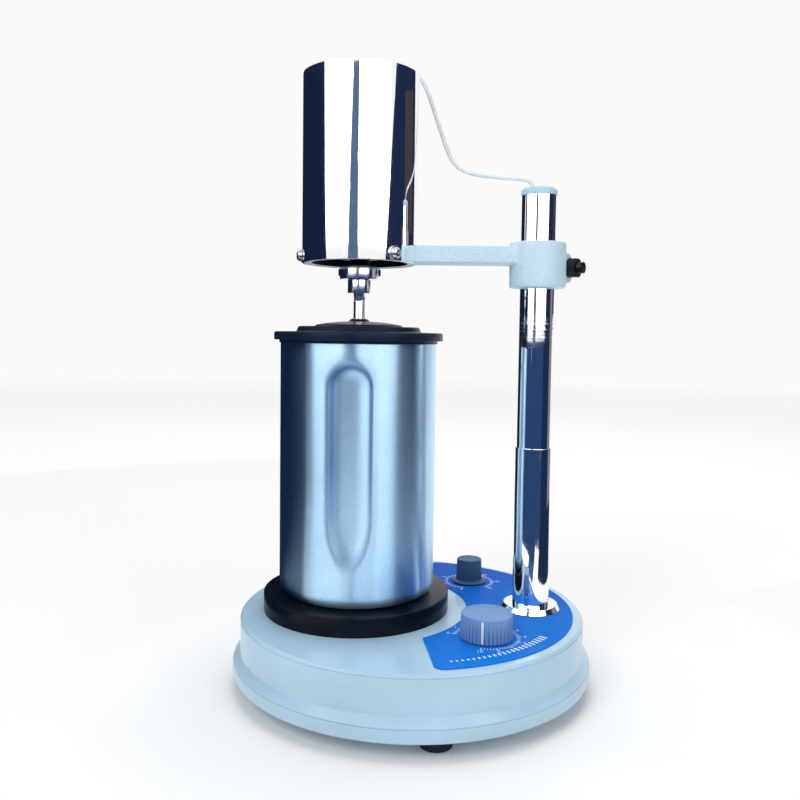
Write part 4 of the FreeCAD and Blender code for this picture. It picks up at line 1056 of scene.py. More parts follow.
DARK_PLASTIC = Plastic("grained_plastic", (0.02, 0.021, 0.024), 0.45, 0.02, 1500.0, 0.12)
KNOB_GREY = Plastic("speed_knob_skin", (0.19, 0.33, 0.6), 0.42, 0.018, 1500.0, 0.12, 0.0, 0.15, 0.06)
TIMER_GREY = Plastic("timer_knob_skin", (0.07, 0.135, 0.26), 0.4, 0.018, 1500.0, 0.12, 0.0, 0.15, 0.08)
WHITE_CAP = Plastic("cap_white", (0.45, 0.65, 0.79), 0.38, 0.015, 1300.0, 0.12, 0.0, 0.2)
LEAD_SHEATH = Plastic("lead_sheath", (0.74, 0.8, 0.83), 0.42, 0.02, 900.0, 0.12)
RUBBER = Plastic("moulded_rubber", (0.008, 0.012, 0.03), 0.62, 0.05, 800.0, 0.12, 0.0, 0.15, 0.2)
FAN_PLASTIC = Plastic("fan_moulding", (0.05, 0.05, 0.055), 0.5, 0.03, 1000.0, 0.12)
CARBON = Plastic("carbon_block", (0.016, 0.016, 0.017), 0.55, 0.03, 1900.0, 0.1)
FILM_CASE = Plastic("film_case", (0.04, 0.1, 0.3), 0.35, 0.02, 900.0, 0.12)
BOARD_WHITE = Plastic("standoff_white", (0.68, 0.68, 0.64), 0.45, 0.02, 1300.0, 0.12)
WHITE_INK = Ink("white_ink")
KNOB_INK = Ink("knob_ink", (0.86, 0.9, 0.94))
# An unused near-black ink for a painted shadow in a socket.
SOCKET_SHADOW_INK = Ink("socket_shadow", (0.01, 0.01, 0.012))


# The object


@dataclass
class Base:
    """The round base: its enamelled shell and tray, rubber feet and the inlets at the back."""

    wall: float = 120.0
    flange: float = 125.0
    tray_bottom: float = 10.0
    seam: float = 18.7
    wall_foot: float = 24.4
    groove: float = 46.4
    foot_circle: float = 105.0
    foot_azimuth: float = 9.0
    inlet_level: float = 34.5
    gland_azimuth: float = 116.0
    fuse_azimuth: float = 96.0

    def build(self) -> None:
        """Make and dress every piece of the base."""
        ride(self.shell(), Body.BASE, BASE_PAINT, Slot.BASE_PAINT, "base_shell")
        ride(self.tray(), Body.BASE, BASE_PAINT, Slot.BASE_PAINT, "bottom_tray")
        ride(self.feet(), Body.BASE, RUBBER, Slot.RUBBER, "rubber_feet")
        ride(self.gland(), Body.BASE, DARK_PLASTIC, Slot.DARK_PLASTIC, "mains_gland")
        ride(self.fuse(), Body.BASE, DARK_PLASTIC, Slot.DARK_PLASTIC, "fuse_holder")

    def shell(self) -> Piece:
        """The hollow upper shell, with a fine groove under the deck's bevel."""
        inside = self.wall - 4.0
        shell = turned("enamel_shell", [
            (0, DECK - 4), (inside, DECK - 4, 2.0), (inside, self.seam),
            (self.flange - 0.4, self.seam, 0.25), (self.flange - 0.5, self.seam + 0.9, 0.5),
            (self.wall, self.wall_foot, 1.6), (self.wall, self.groove - 0.25, 0.15),
            (self.wall - 0.45, self.groove), (self.wall - 0.1, self.groove + 0.3, 0.2),
            (self.wall - 1.8, DECK, 1.2), (0, DECK),
        ], steps=240, angle=40.0)
        holes = [drum("post_hole", 12.0, DECK - 6, DECK + 2, (POST_X, 0.0))]
        for x, y in (SPEED_DIAL.centre, TIMER_DIAL.centre):
            holes.append(drum("bushing_hole", 4.7, DECK - 6, DECK + 2, (x, y)))
        return smooth(combined(shell, holes), 40.0)

    def tray(self) -> Piece:
        """The flanged tray that closes the shell from below."""
        lip = self.wall - 4.2
        return turned("enamel_tray", [
            (0, self.tray_bottom), (self.flange, self.tray_bottom, 1.6), (self.flange, self.seam - 0.1, 0.45),
            (lip, self.seam - 0.1), (lip, self.seam + 3), (lip - 3, self.seam + 3), (lip - 3, 13), (0, 13),
        ], steps=240, angle=40.0)

    def feet(self) -> Piece:
        """Four rubber feet with wells for their screws."""
        foot = turned("foot", [
            (2.2, 5), (4.5, 5, 0.3), (4.5, 0, 0.5), (10, 0, 1.4), (11, self.tray_bottom, 0.4), (2.2, self.tray_bottom),
        ], steps=64)
        feet = []
        for index in range(4):
            twin = copied(foot, "foot_copy")
            place = at(self.foot_circle, self.foot_azimuth + 90.0 * index)
            feet.append(moved(twin, (*place, 0.0)))
        bpy.data.objects.remove(foot)
        return joined("foot_rubbers", feet)

    def on_wall(self, piece: Piece, azimuth: float) -> Piece:
        """Lay a piece that stands on the origin against the wall, at the inlets' level."""
        return moved(piece, (*at(self.wall, azimuth), self.inlet_level), toward(azimuth))

    def gland(self) -> Piece:
        """The cord gland: a hexagon collar and a ribbed dome round its bore."""
        stem = turned("gland_stem", [(3.2, -8), (6, -8), (6, 0.5), (3.2, 0.5)], steps=48)
        collar = hexagon("gland_collar", 7.5, 0.0, 3.6, 3.2)
        dome = turned("gland_dome", [
            (3.2, 3.4), (6.6, 3.4, 0.4), (6.5, 5.6, 0.5), (6.1, 5.9), (6.2, 7.2, 0.8), (5.4, 9, 0.9), (3.2, 9, 0.5),
        ], steps=64)
        return self.on_wall(joined("cord_gland", [stem, collar, dome]), self.gland_azimuth)

    def fuse(self) -> Piece:
        """The fuse holder: a screwed cap with a coin slot."""
        cap = turned("fuse_cap", [
            (0, -8), (6, -8), (6, 0), (7.5, 0, 0.3), (7.5, 1.6, 0.5), (6.2, 2.1), (5.8, 5, 0.7), (0, 5),
        ], steps=64)
        slot = block("coin_slot", (-4.2, -0.7, 3.6), (4.2, 0.7, 6.0))
        return self.on_wall(smooth(combined(cap, [slot])), self.fuse_azimuth)


@dataclass
class Dial:
    """A knob and the scale that is printed round it."""

    name: str
    body: Body
    centre: tuple[float, float]
    finish: Finish
    slot: Slot
    radius: float
    taper: float
    foot: float
    top: float
    ribs: int
    pointer: float
    node: str
    skirt: float = 0.0
    rim: float = 1.3
    numbers: Sequence[tuple[str, float]] = field(default_factory=list)
    number_circle: float = 25.0
    number_size: float = 4.2
    ticks: int = 50
    tick_start: float = 0.0
    tick_sweep: float = 270.0
    tick_circle: float = 19.4
    arc: bool = False

    def build(self) -> None:
        """Make the knob, its pointer and its scale."""
        ride(self.knob(), self.body, self.finish, self.slot, self.node)
        ride(self.mark(), self.body, KNOB_INK, Slot.WHITE_PLASTIC)
        ride(self.scale(), Body.BASE, WHITE_INK, Slot.WHITE_PLASTIC)

    def knob(self) -> Piece:
        """A turned core with a smooth rim, a ribbed grip round it and, on some, a skirt."""
        edge = self.radius - self.taper
        core = turned(self.name + "_core", [
            (0, self.foot + 1), (self.radius - 1.3, self.foot + 1), (edge - 0.15, self.top - self.rim - 0.6),
            (edge - 0.1, self.top, 0.7), (edge - 1.9, self.top, 0.3), (edge - 2.2, self.top - 0.25, 0.3),
            (0, self.top - 0.25),
        ], self.centre, steps=120)
        grip_foot = self.foot + (1.3 if self.skirt else 0.0)
        grip = self.grip(grip_foot, self.top - self.rim)
        pieces = [core, grip]
        if self.skirt:
            pieces.append(turned(self.name + "_skirt", [
                (0, self.foot), (self.skirt, self.foot, 0.3), (self.skirt, self.foot + 0.8, 0.3),
                (self.radius - 0.5, self.foot + 1.9, 0.6), (0, self.foot + 1.9),
            ], self.centre, steps=120))
        return smooth(joined(self.name, pieces), 32.0)

    def grip(self, low: float, high: float) -> Piece:
        """The ribbed ring: every fourth edge of a many-sided drum is drawn in to a groove."""
        sides = 6 * self.ribs
        grip = drum(self.name + "_grip", self.radius, low, high, self.centre, sides)
        middle = Vector((self.centre[0] * MM, self.centre[1] * MM, 0.0))
        for vertex in grip.data.vertices:
            vertex.select = False
        with editing(grip):
            bpy.ops.mesh.select_all(action="DESELECT")
            mesh = bmesh.from_edit_mesh(grip.data)
            for vertex in mesh.verts:
                arm = vertex.co - middle
                step = round(math.atan2(arm.y, arm.x) / math.tau * sides)
                vertex.select = step % 6 in (0, 1)
            mesh.select_flush(True)
            bmesh.update_edit_mesh(grip.data)
            draw = (self.radius - 0.062 * self.radius) / self.radius
            bpy.ops.transform.resize(value=(draw, draw, 1.0), center_override=middle)
            bpy.ops.mesh.select_all(action="DESELECT")
            mesh = bmesh.from_edit_mesh(grip.data)
            for vertex in mesh.verts:
                vertex.select = vertex.co.z > (low + high) / 2 * MM
            mesh.select_flush(True)
            bmesh.update_edit_mesh(grip.data)
            draw = (self.radius - self.taper) / self.radius
            bpy.ops.transform.resize(value=(draw, draw, 1.0), center_override=middle)
        return eased(grip, 0.16, 2, 50.0)

    def mark(self) -> Piece:
        """The white pointer line on the grip, or on the skirt where there is one."""
        if self.skirt:
            bar = block(self.name + "_pointer", (self.radius - 1.0, -0.5, self.foot + 0.9),
                        (self.skirt - 0.4, 0.5, self.foot + 1.75))
            sink = self.foot + 1.75
            with editing(bar):
                bpy.ops.mesh.select_all(action="DESELECT")
                mesh = bmesh.from_edit_mesh(bar.data)
                for vertex in mesh.verts:
                    vertex.select = vertex.co.x > (self.radius + 1) * MM and vertex.co.z > (sink - 0.2) * MM
                mesh.select_flush(True)
                bmesh.update_edit_mesh(bar.data)
                bpy.ops.transform.translate(value=(0.0, 0.0, -0.85 * MM))
        else:
            bar = block(self.name + "_pointer", (self.radius - 1.2, -0.75, self.foot + 0.8),
                        (self.radius + 0.12, 0.75, self.top - self.rim + 0.2))
        eased(bar, 0.12, 2)
        turn = Matrix.Rotation(math.radians(self.pointer), 4, "Z")
        return moved(bar, (*self.centre, 0.0), turn)

    def scale(self) -> Piece:
        """Printed ticks and plain numbers round the knob."""
        pieces = []
        for index in range(self.ticks + 1):
            azimuth = self.tick_start - self.tick_sweep * index / self.ticks
            major = index % 5 == 0
            reach = 3.4 if major else 2.2
            width = 0.36 if major else 0.24
            tick = block("tick", (self.tick_circle, -width, PANEL_TOP - 0.02),
                         (self.tick_circle + reach, width, PANEL_TOP + 0.05))
            pieces.append(moved(tick, (*self.centre, 0.0), Matrix.Rotation(math.radians(azimuth), 4, "Z")))
        if self.arc:
            pieces.append(self.ring())
        for text, azimuth in self.numbers:
            place = at(self.number_circle, azimuth, self.centre)
            pieces.append(self.number(text, place))
        return joined(self.name + "_scale", pieces)

    def ring(self) -> Piece:
        """The thin printed arc that the ticks stand on."""
        deselect()
        bpy.ops.mesh.primitive_plane_add(size=1.0)
        ring = named("arc")
        middle = (self.centre[0] * MM, self.centre[1] * MM, 0.0)
        start = at(self.tick_circle - 0.25, self.tick_start, self.centre)
        outer = at(self.tick_circle + 0.25, self.tick_start, self.centre)
        level = (PANEL_TOP + 0.05) * MM
        with editing(ring):
            bpy.ops.mesh.merge(type="CENTER")
            bpy.ops.transform.translate(value=(start[0] * MM, start[1] * MM, level))
            step = ((outer[0] - start[0]) * MM, (outer[1] - start[1]) * MM, 0.0)
            bpy.ops.mesh.extrude_region_move(TRANSFORM_OT_translate={"value": step})
            bpy.ops.mesh.extrude_region_move(TRANSFORM_OT_translate={"value": (0.0, 0.0, -0.07 * MM)})
            bpy.ops.mesh.select_all(action="SELECT")
            bpy.ops.mesh.spin(steps=96, angle=math.radians(self.tick_sweep), center=middle, axis=(0.0, 0.0, 1.0))
            bpy.ops.mesh.select_all(action="SELECT")
            bpy.ops.mesh.normals_make_consistent(inside=False)
        return ring

    def number(self, text: str, place: tuple[float, float]) -> Piece:
        """One printed number, upright for someone who stands at the front."""
        deselect()
        bpy.ops.object.text_add(location=(place[0] * MM, place[1] * MM, (PANEL_TOP - 0.01) * MM))
        letter = bpy.context.object
        letter.data.body = text
        letter.data.size = self.number_size * MM
        letter.data.align_x = "CENTER"
        letter.data.align_y = "CENTER"
        letter.data.extrude = 0.03 * MM
        letter.data.resolution_u = 3
        bpy.ops.object.convert(target="MESH")
        return named("number")


SPEED_DIAL = Dial(
    "speed_grip", Body.SPEED_DIAL, (48.9, -59.5), KNOB_GREY, Slot.KNOB_BLUE_GREY,
    17.1, 0.6, 50.0, 65.5, 40, -103.5, "speed_knob",
    numbers=[(str(value), 166.5 - 27.0 * value) for value in range(11)], tick_start=166.5,
)
TIMER_DIAL = Dial(
    "timer_grip", Body.TIMER_DIAL, (44.4, 59.5), TIMER_GREY, Slot.KNOB_DARK_GREY,
    10.0, 0.5, 50.0, 67.6, 28, -108.0, "timer_knob", skirt=13.4, rim=0.9,
    numbers=[(str(5 * value), -108.0 - 50.0 * value) for value in range(7)], number_circle=22.5,
    number_size=3.6, ticks=30, tick_start=-108.0, tick_sweep=300.0, tick_circle=17.4, arc=True,
)


@dataclass
class Panel:
    """The blue panel round the post, with its dials and a generic rising scale at its edge."""

    bars: int = 22
    bar_circle: float = 103.0
    bar_start: float = -76.0
    bar_step: float = 2.0

    def build(self) -> None:
        """Dress the panel and print its marks."""
        dress("control_panel", PANEL)
        SPEED_DIAL.build()
        TIMER_DIAL.build()
        ride(self.rising_bars(), Body.BASE, WHITE_INK, Slot.WHITE_PLASTIC)

    def rising_bars(self) -> Piece:
        """A row of short bars that grow along the edge, as a plain sign for more."""
        bars = []
        for index in range(self.bars):
            reach = 1.4 + 4.6 * index / self.bars
            bar = block("bar", (self.bar_circle - reach / 2, -0.75, PANEL_TOP - 0.02),
                        (self.bar_circle + reach / 2, 0.75, PANEL_TOP + 0.05))
            azimuth = self.bar_start + self.bar_step * index
            bars.append(moved(bar, (0.0, 0.0, 0.0), Matrix.Rotation(math.radians(azimuth), 4, "Z")))
        return joined("rising_bars", bars)


@dataclass
class Post:
    """The chromed post with its foot nut, stop sleeve and white cap."""

    centre: tuple[float, float] = (POST_X, 0.0)
    radius: float = 12.0
    bottom: float = 32.5
    top: float = 339.4
    nut_radius: float = 20.7
    nut_top: float = 53.3
    sleeve_top: float = 164.3

    def build(self) -> None:
        """Make and dress the post's pieces."""
        post = turned("chromed_post", [
            (self.radius - 2, self.bottom), (self.radius, self.bottom, 0.3),
            (self.radius, self.top, 0.4), (self.radius - 2, self.top),
        ], self.centre, steps=120)
        ride(post, Body.BASE, POST_CHROME, Slot.CHROME, "post")
        sleeve = turned("stop_sleeve", [
            (self.radius, self.nut_top), (self.radius + 0.8, self.nut_top),
            (self.radius + 0.8, self.sleeve_top, 0.25), (self.radius, self.sleeve_top),
        ], self.centre, steps=120)
        ride(sleeve, Body.BASE, NUT_CHROME, Slot.CHROME, "post_sleeve")
        nut = turned("round_foot_nut", [
            (self.radius + 0.8, PANEL_TOP), (self.nut_radius, PANEL_TOP, 0.1),
            (self.nut_radius, PANEL_TOP + 0.7, 0.3), (self.nut_radius - 1.9, self.nut_top, 0.5),
            (self.radius + 0.8, self.nut_top),
        ], self.centre, steps=120)
        ride(nut, Body.BASE, NUT_CHROME, Slot.CHROME, "post_foot_nut")
        cap = turned("post_top_cap", [
            (0, self.top - 12), (self.radius - 2.05, self.top - 12), (self.radius - 2.05, self.top),
            (self.radius + 0.5, self.top, 0.25), (self.radius + 0.5, self.top + 2.9, 0.7),
            (self.radius - 0.8, self.top + 4.7, 1.2), (self.radius - 3.4, self.top + 5.15, 2.0),
            (0, self.top + 5.2),
        ], self.centre, steps=120)
        ride(cap, Body.SWING_CAP, WHITE_CAP, Slot.WHITE_PLASTIC, "post_cap")


@dataclass
class Cup:
    """The black seat, the fluted cup, its stepped lid and the cutter that runs through it."""

    centre: tuple[float, float] = (CUP_X, 0.0)
    seat_radius: float = 65.4
    radius: float = 54.5
    wall: float = 0.9
    corner: float = 8.3
    rim: float = 237.5
    flute_half_width: float = 15.5
    flute_depth: float = 4.0
    flute_low: float = 89.0
    flute_high: float = 223.5
    flute_foot_reach: float = 34.0
    flute_azimuths: Sequence[float] = (-92.3, 27.7, 147.7)
    rows: int = 128
    steps: int = 260

    def build(self) -> None:
        """Make and dress the seat, the cup, the lid, its bush and the cutter."""
        seat = turned("black_seat", [
            (0, DECK), (self.seat_radius, DECK), (self.seat_radius, SEAT_TOP, 1.0), (0, SEAT_TOP),
        ], self.centre, steps=200)
        ride(seat, Body.BASE, SEAT_BLACK, Slot.BLACK_PLASTIC, "cup_seat")
        ride(self.cup(), Body.CUP, CUP_STEEL, Slot.CUP_STEEL, "mixing_cup")
        ride(self.lid(), Body.LID, LID_BLACK, Slot.BLACK_PLASTIC, "cup_lid")
        bush = turned("shaft_bush", [
            (4.05, 231.1), (5, 231.1), (5, 253.1, 0.3), (4.05, 253.1),
        ], self.centre, steps=64)
        ride(bush, Body.LID, BRONZE, Slot.BRONZE, "lid_bush")
        ride(self.shaft(), Body.CUTTER, SHAFT_STEEL, Slot.MACHINED, "blade_shaft")
        dress("cutting_blades", SHAFT_STEEL)
        dress("blade_nut", SCREW_STEEL)

    def cup(self) -> Piece:
        """The cup: its outside is turned in many rows, the flutes are sunk in, then it gets its wall."""
        outline: list[tuple[float, ...]] = [(0, SEAT_TOP)]
        outline += [(10.0 * step, SEAT_TOP) for step in range(1, 5)]
        outline.append((self.radius, SEAT_TOP, self.corner))
        low = SEAT_TOP + self.corner
        outline += [(self.radius, low + (self.rim - low) * row / self.rows) for row in range(1, self.rows + 1)]
        cup = turned("fluted_cup", outline, self.centre, closed=False, steps=self.steps, angle=60.0, parts=8)
        for azimuth in self.flute_azimuths:
            self.press_flute(cup, azimuth)
        apply_modifier(cup, "SOLIDIFY", thickness=self.wall * MM, offset=-1.0)
        return smooth(cup, 50.0)

    def from_spine(self, place: Vector, azimuth: float) -> tuple[float, float]:
        """How far a place on the wall is from a flute's middle line, across it and past its ends."""
        turn = math.atan2(place.y / MM, place.x / MM - self.centre[0]) - math.radians(azimuth)
        turn = (turn + math.pi) % math.tau - math.pi
        foot = (self.flute_low + self.flute_foot_reach - place.z / MM) / self.flute_foot_reach
        head = place.z / MM - (self.flute_high - self.flute_half_width)
        return turn * self.radius, max(foot * self.flute_half_width, head, 0.0)

    def press_flute(self, cup: Piece, azimuth: float) -> None:
        """Press one flute in, as deep in its middle as a rounded die goes.

        Its walls get painted shade in a vertex layer: strongest towards the top, broad on the left wall and narrow on
        the right.

        Args:
            cup: The turned cup.
            azimuth: Where on it the flute goes.
        """
        inward = -Vector((*at(1.0, azimuth), 0.0))
        edge = self.flute_half_width
        middle = (self.flute_low + self.flute_high) / 2
        with editing(cup):
            mesh = bmesh.from_edit_mesh(cup.data)
            drawn = mesh.verts.layers.float.get("pressed") or mesh.verts.layers.float.new("pressed")
            for vertex in mesh.verts:
                across, along = self.from_spine(vertex.co, azimuth)
                span = math.hypot(across, along)
                vertex.select = span < edge + 6.0
                # Painted shade for the flute walls: a broad band on the left wall, a narrow one on the right, stronger
                # towards the top.
                if span < edge + 2.0:
                    right = (across / max(span, 0.1) + 1.0) / 2
                    strain = max(0.0, 1.0 - abs(span - edge * (0.72 + 0.2 * right)) / (7.0 - 4.9 * right))
                    high = min(1.0, max(0.0, vertex.co.z / MM - self.flute_low) / (middle - self.flute_low))
                    vertex[drawn] = strain * (0.3 + 0.7 * high)
                if span < edge:
                    vertex.co += inward * (self.flute_depth * (1.0 - (span / edge) ** 2.5) * MM)
            mesh.select_flush(True)
            bmesh.update_edit_mesh(cup.data)
            bpy.ops.mesh.vertices_smooth(factor=0.5, repeat=14)
            bpy.ops.mesh.select_all(action="SELECT")

    def lid(self) -> Piece:
        """The stepped lid with its plug, skirt, domed crown and hub."""
        plug = self.radius - self.wall - 0.3
        under = self.rim + 0.3
        return turned("stepped_lid", [
            (5, self.rim - 3.5), (plug - 4, self.rim - 3.5, 0.8), (plug - 4, self.rim - 7.5, 0.5),
            (plug, self.rim - 7.5, 0.5), (plug, self.rim, 0.2), (54.8, self.rim), (54.8, self.rim - 1.7),
            (55.4, self.rim - 1.7, 0.15), (55.4, under, 0.15), (59, under, 0.6), (59, 243.4, 1.5),
            (43.6, 243.7, 1.0), (42.3, 247.2, 1.4), (31.0, 247.3, 0.6), (30, 248.4, 0.7), (22, 249.8, 6.0),
            (13, 250.7, 3.0), (7.6, 250.95, 0.8), (5.9, 252.6, 0.4), (5, 252.6),
        ], self.centre, steps=200, angle=40.0)

    def shaft(self) -> Piece:
        """The cutter's shaft, with the front half of its end left as a tongue."""
        shaft = turned("cutter_shaft", [
            (0, 70.5), (SHAFT_RADIUS, 70.5, 0.4), (SHAFT_RADIUS, 265.2, 0.4), (0, 265.2),
        ], self.centre, steps=64)
        mill = block("mill", (CUP_X - 5, -0.15, 260.2), (CUP_X + 5, 6, 267))
        return eased(combined(shaft, [mill]), 0.2, 2, 60.0)


@dataclass
class Drive:
    """What turns below the motor: the spindle's end and the two bright collars."""

    centre: tuple[float, float] = (CUP_X, 0.0)
    collar_radius: float = 13.8
    collar_low: float = 280.2
    collar_high: float = 289.9
    end_radius: float = 8.2
    end_low: float = 270.6

    def build(self) -> None:
        """Make and dress the drive's visible pieces."""
        ride(self.spindle(), Body.ROTOR, SHAFT_STEEL, Slot.MACHINED, "motor_shaft")
        ride(self.large_collar(), Body.ROTOR, COLLAR_STEEL, Slot.MACHINED, "drive_collar")
        small = turned("small_collar", [
            (SHAFT_RADIUS, self.end_low), (self.end_radius, self.end_low, 0.8),
            (self.end_radius, self.collar_low - 0.4, 0.2), (self.end_radius - 0.5, self.collar_low),
            (SHAFT_RADIUS, self.collar_low),
        ], self.centre, steps=96)
        ride(small, Body.ROTOR, COLLAR_STEEL, Slot.MACHINED, "end_collar")
        ride(self.set_screws(), Body.ROTOR, BLACK_OXIDE, Slot.BLACK_BOLTS, "collar_screws")

    def spindle(self) -> Piece:
        """The motor's shaft, with the rear half of its end left as a tongue."""
        spindle = turned("spindle", [
            (0, 260.7), (SHAFT_RADIUS, 260.7, 0.4), (SHAFT_RADIUS, 409.4, 0.5), (0, 409.4),
        ], self.centre, steps=64)
        mill = block("mill", (CUP_X - 5, -6, 259), (CUP_X + 5, 0.15, 268.0))
        return eased(combined(spindle, [mill]), 0.2, 2, 60.0)

    def large_collar(self) -> Piece:
        """The large collar with two screw holes."""
        low, high = self.collar_low, self.collar_high
        collar = turned("large_collar", [
            (SHAFT_RADIUS, low), (self.collar_radius, low, 0.8), (self.collar_radius, high, 0.8),
            (SHAFT_RADIUS, high),
        ], self.centre, steps=128)
        holes = []
        for azimuth in (0.0, 180.0):
            hole = drum("hole", 2.9, SHAFT_RADIUS + 4, self.collar_radius + 2, sides=32)
            holes.append(moved(hole, (*self.centre, (low + high) / 2), toward(azimuth)))
        return smooth(combined(collar, holes))

    def set_screws(self) -> Piece:
        """Two set screws with hexagon sockets, a little proud of the collar."""
        screws = []
        for azimuth in (0.0, 180.0):
            screw = turned("set_screw", [
                (0, SHAFT_RADIUS), (2.5, SHAFT_RADIUS), (2.5, self.collar_radius + 0.9, 0.4),
                (0, self.collar_radius + 0.9),
            ], steps=32)
            socket = drum("socket", 1.35, self.collar_radius - 1.5, self.collar_radius + 2, sides=6)
            screw = smooth(combined(screw, [socket]))
            screws.append(moved(screw, (*self.centre, (self.collar_low + self.collar_high) / 2), toward(azimuth)))
        return joined("set_screws", screws)


@dataclass
class Arm:
    """The cast arm with its split clamp and the clamp's bolt; the motor's bright cover sits on it."""

    centre: tuple[float, float] = (CUP_X, 0.0)
    low: float = 291.4
    high: float = 303.4
    ring: float = 39.15
    opening: float = 33.3
    half_width: float = 12.0
    boss: float = 19.5
    boss_low: float = 275.6
    boss_high: float = 306.9
    bore: float = 12.05
    ear_turn: float = -35.0
    ear_half: float = 10.5
    ear_reach: float = 26.0
    ear_radius: float = 11.0
    ear_level: float = 290.95
    grain: float = 0.8

    def build(self) -> None:
        """Make and dress the casting and its clamping bolt."""
        casting = self.casting()
        ride(casting, Body.ARM, ARM_PAINT, Slot.ARM_PAINT, "motor_arm")
        self.bare_opening(casting)
        ride(self.bolt(), Body.ARM, BLACK_OXIDE, Slot.BLACK_BOLTS, "clamp_bolt")
        ride(self.nut(), Body.ARM, BLACK_OXIDE, Slot.BLACK_BOLTS, "clamp_nut")
        ride(self.washers(), Body.ARM, SCREW_STEEL, Slot.MACHINED, "clamp_washers")

    def bare_opening(self, casting: Piece) -> None:
        """Paint the wall of the ring's opening near-black iron, as painted shade inside the opening.

        Args:
            casting: The finished casting.
        """
        casting.data.materials.append(SHADE_BLACK_IRON.material())
        # The faces of the opening's wall get the near-black iron as painted shade.
        for face in casting.data.polygons:
            radius = math.hypot(face.center.x - CUP_X * MM, face.center.y)
            if radius < (self.opening + 0.4) * MM:
                face.material_index = 1

    def ear_spot(self) -> Point:
        """The middle of the bolt, in the construction's frame."""
        x, y = at(self.ear_reach, self.ear_turn + 90.0, (POST_X, 0.0))
        return x, y, self.ear_level

    def in_ear(self, piece: Piece) -> Piece:
        """Turn a piece, made square to the post, to the ears' direction."""
        return moved(piece, (POST_X, 0.0, 0.0), Matrix.Rotation(math.radians(self.ear_turn), 4, "Z"))

    def casting(self) -> Piece:
        """Ring, beam, boss and ears are melted together, softened as a casting, and then machined."""
        inset = 0.5
        ring = turned("cast_arm", [
            (self.opening - 4, self.low), (self.ring, self.low), (self.ring, self.high), (self.opening - 4, self.high),
        ], self.centre, steps=160)
        beam = block("beam", (-4.2, -self.half_width, self.low), (POST_X - 4, self.half_width, self.high))
        boss = drum("boss", self.boss, self.boss_low, self.boss_high, (POST_X, 0.0), 128)
        low, high = self.ear_level - self.ear_radius, self.ear_level + self.ear_radius
        ears = self.in_ear(block("ears", (-self.ear_half, 6, low), (self.ear_half, self.ear_reach, high)))
        ends = drum("ear_ends", self.ear_radius, -self.ear_half, self.ear_half, sides=96)
        ends = moved(ends, self.ear_spot(), toward(self.ear_turn))
        arm = combined(ring, [beam, boss, ears, ends], "UNION")
        apply_modifier(arm, "REMESH", mode="VOXEL", voxel_size=self.grain * MM)
        apply_modifier(arm, "SMOOTH", factor=0.5, iterations=9)
        tools = [
            drum("opening", self.opening, self.low - inset, self.high + inset, self.centre, 128),
            drum("bore", self.bore, self.boss_low - 2, self.boss_high + 2, (POST_X, 0.0), 96),
            self.in_ear(block("slot", (-1.5, 8, low - 6), (1.5, self.ear_reach + self.ear_radius + 3, high + 12))),
            moved(drum("bolt_hole", 4.2, -self.ear_half - 2, self.ear_half + 2, sides=48),
                  self.ear_spot(), toward(self.ear_turn)),
        ]
        for azimuth in COVER.screw_azimuths:
            hole = drum("screw_hole", 2.0, self.opening - 2, self.ring + 2, sides=24)
            tools.append(moved(hole, (*self.centre, COVER.screw_level), toward(azimuth)))
        return smooth(combined(arm, tools), 38.0)

    def bolt(self) -> Piece:
        """A hexagon bolt with a threaded end."""
        head = hexagon("clamp_screw", 7.5, -17.4, -12.1)
        stem = drum("stem", SHAFT_RADIUS, -12.2, 11.5, sides=48)
        thread = threaded("thread", SHAFT_RADIUS, 11.4, 22.8)
        return moved(joined("clamp_screw", [head, stem, thread]), self.ear_spot(), toward(self.ear_turn))

    def nut(self) -> Piece:
        """The hexagon nut on the bolt."""
        return moved(hexagon("clamp_hexagon", 7.5, 12.1, 18.6, SHAFT_RADIUS), self.ear_spot(), toward(self.ear_turn))

    def washers(self) -> Piece:
        """A washer under the head and another under the nut."""
        washers = []
        for level in (-12.1, 10.5):
            washers.append(turned("washer", [
                (4.2, level), (7.5, level, 0.25), (7.5, level + 1.6, 0.25), (4.2, level + 1.6),
            ], steps=64))
        return moved(joined("clamp_rings", washers), self.ear_spot(), toward(self.ear_turn))


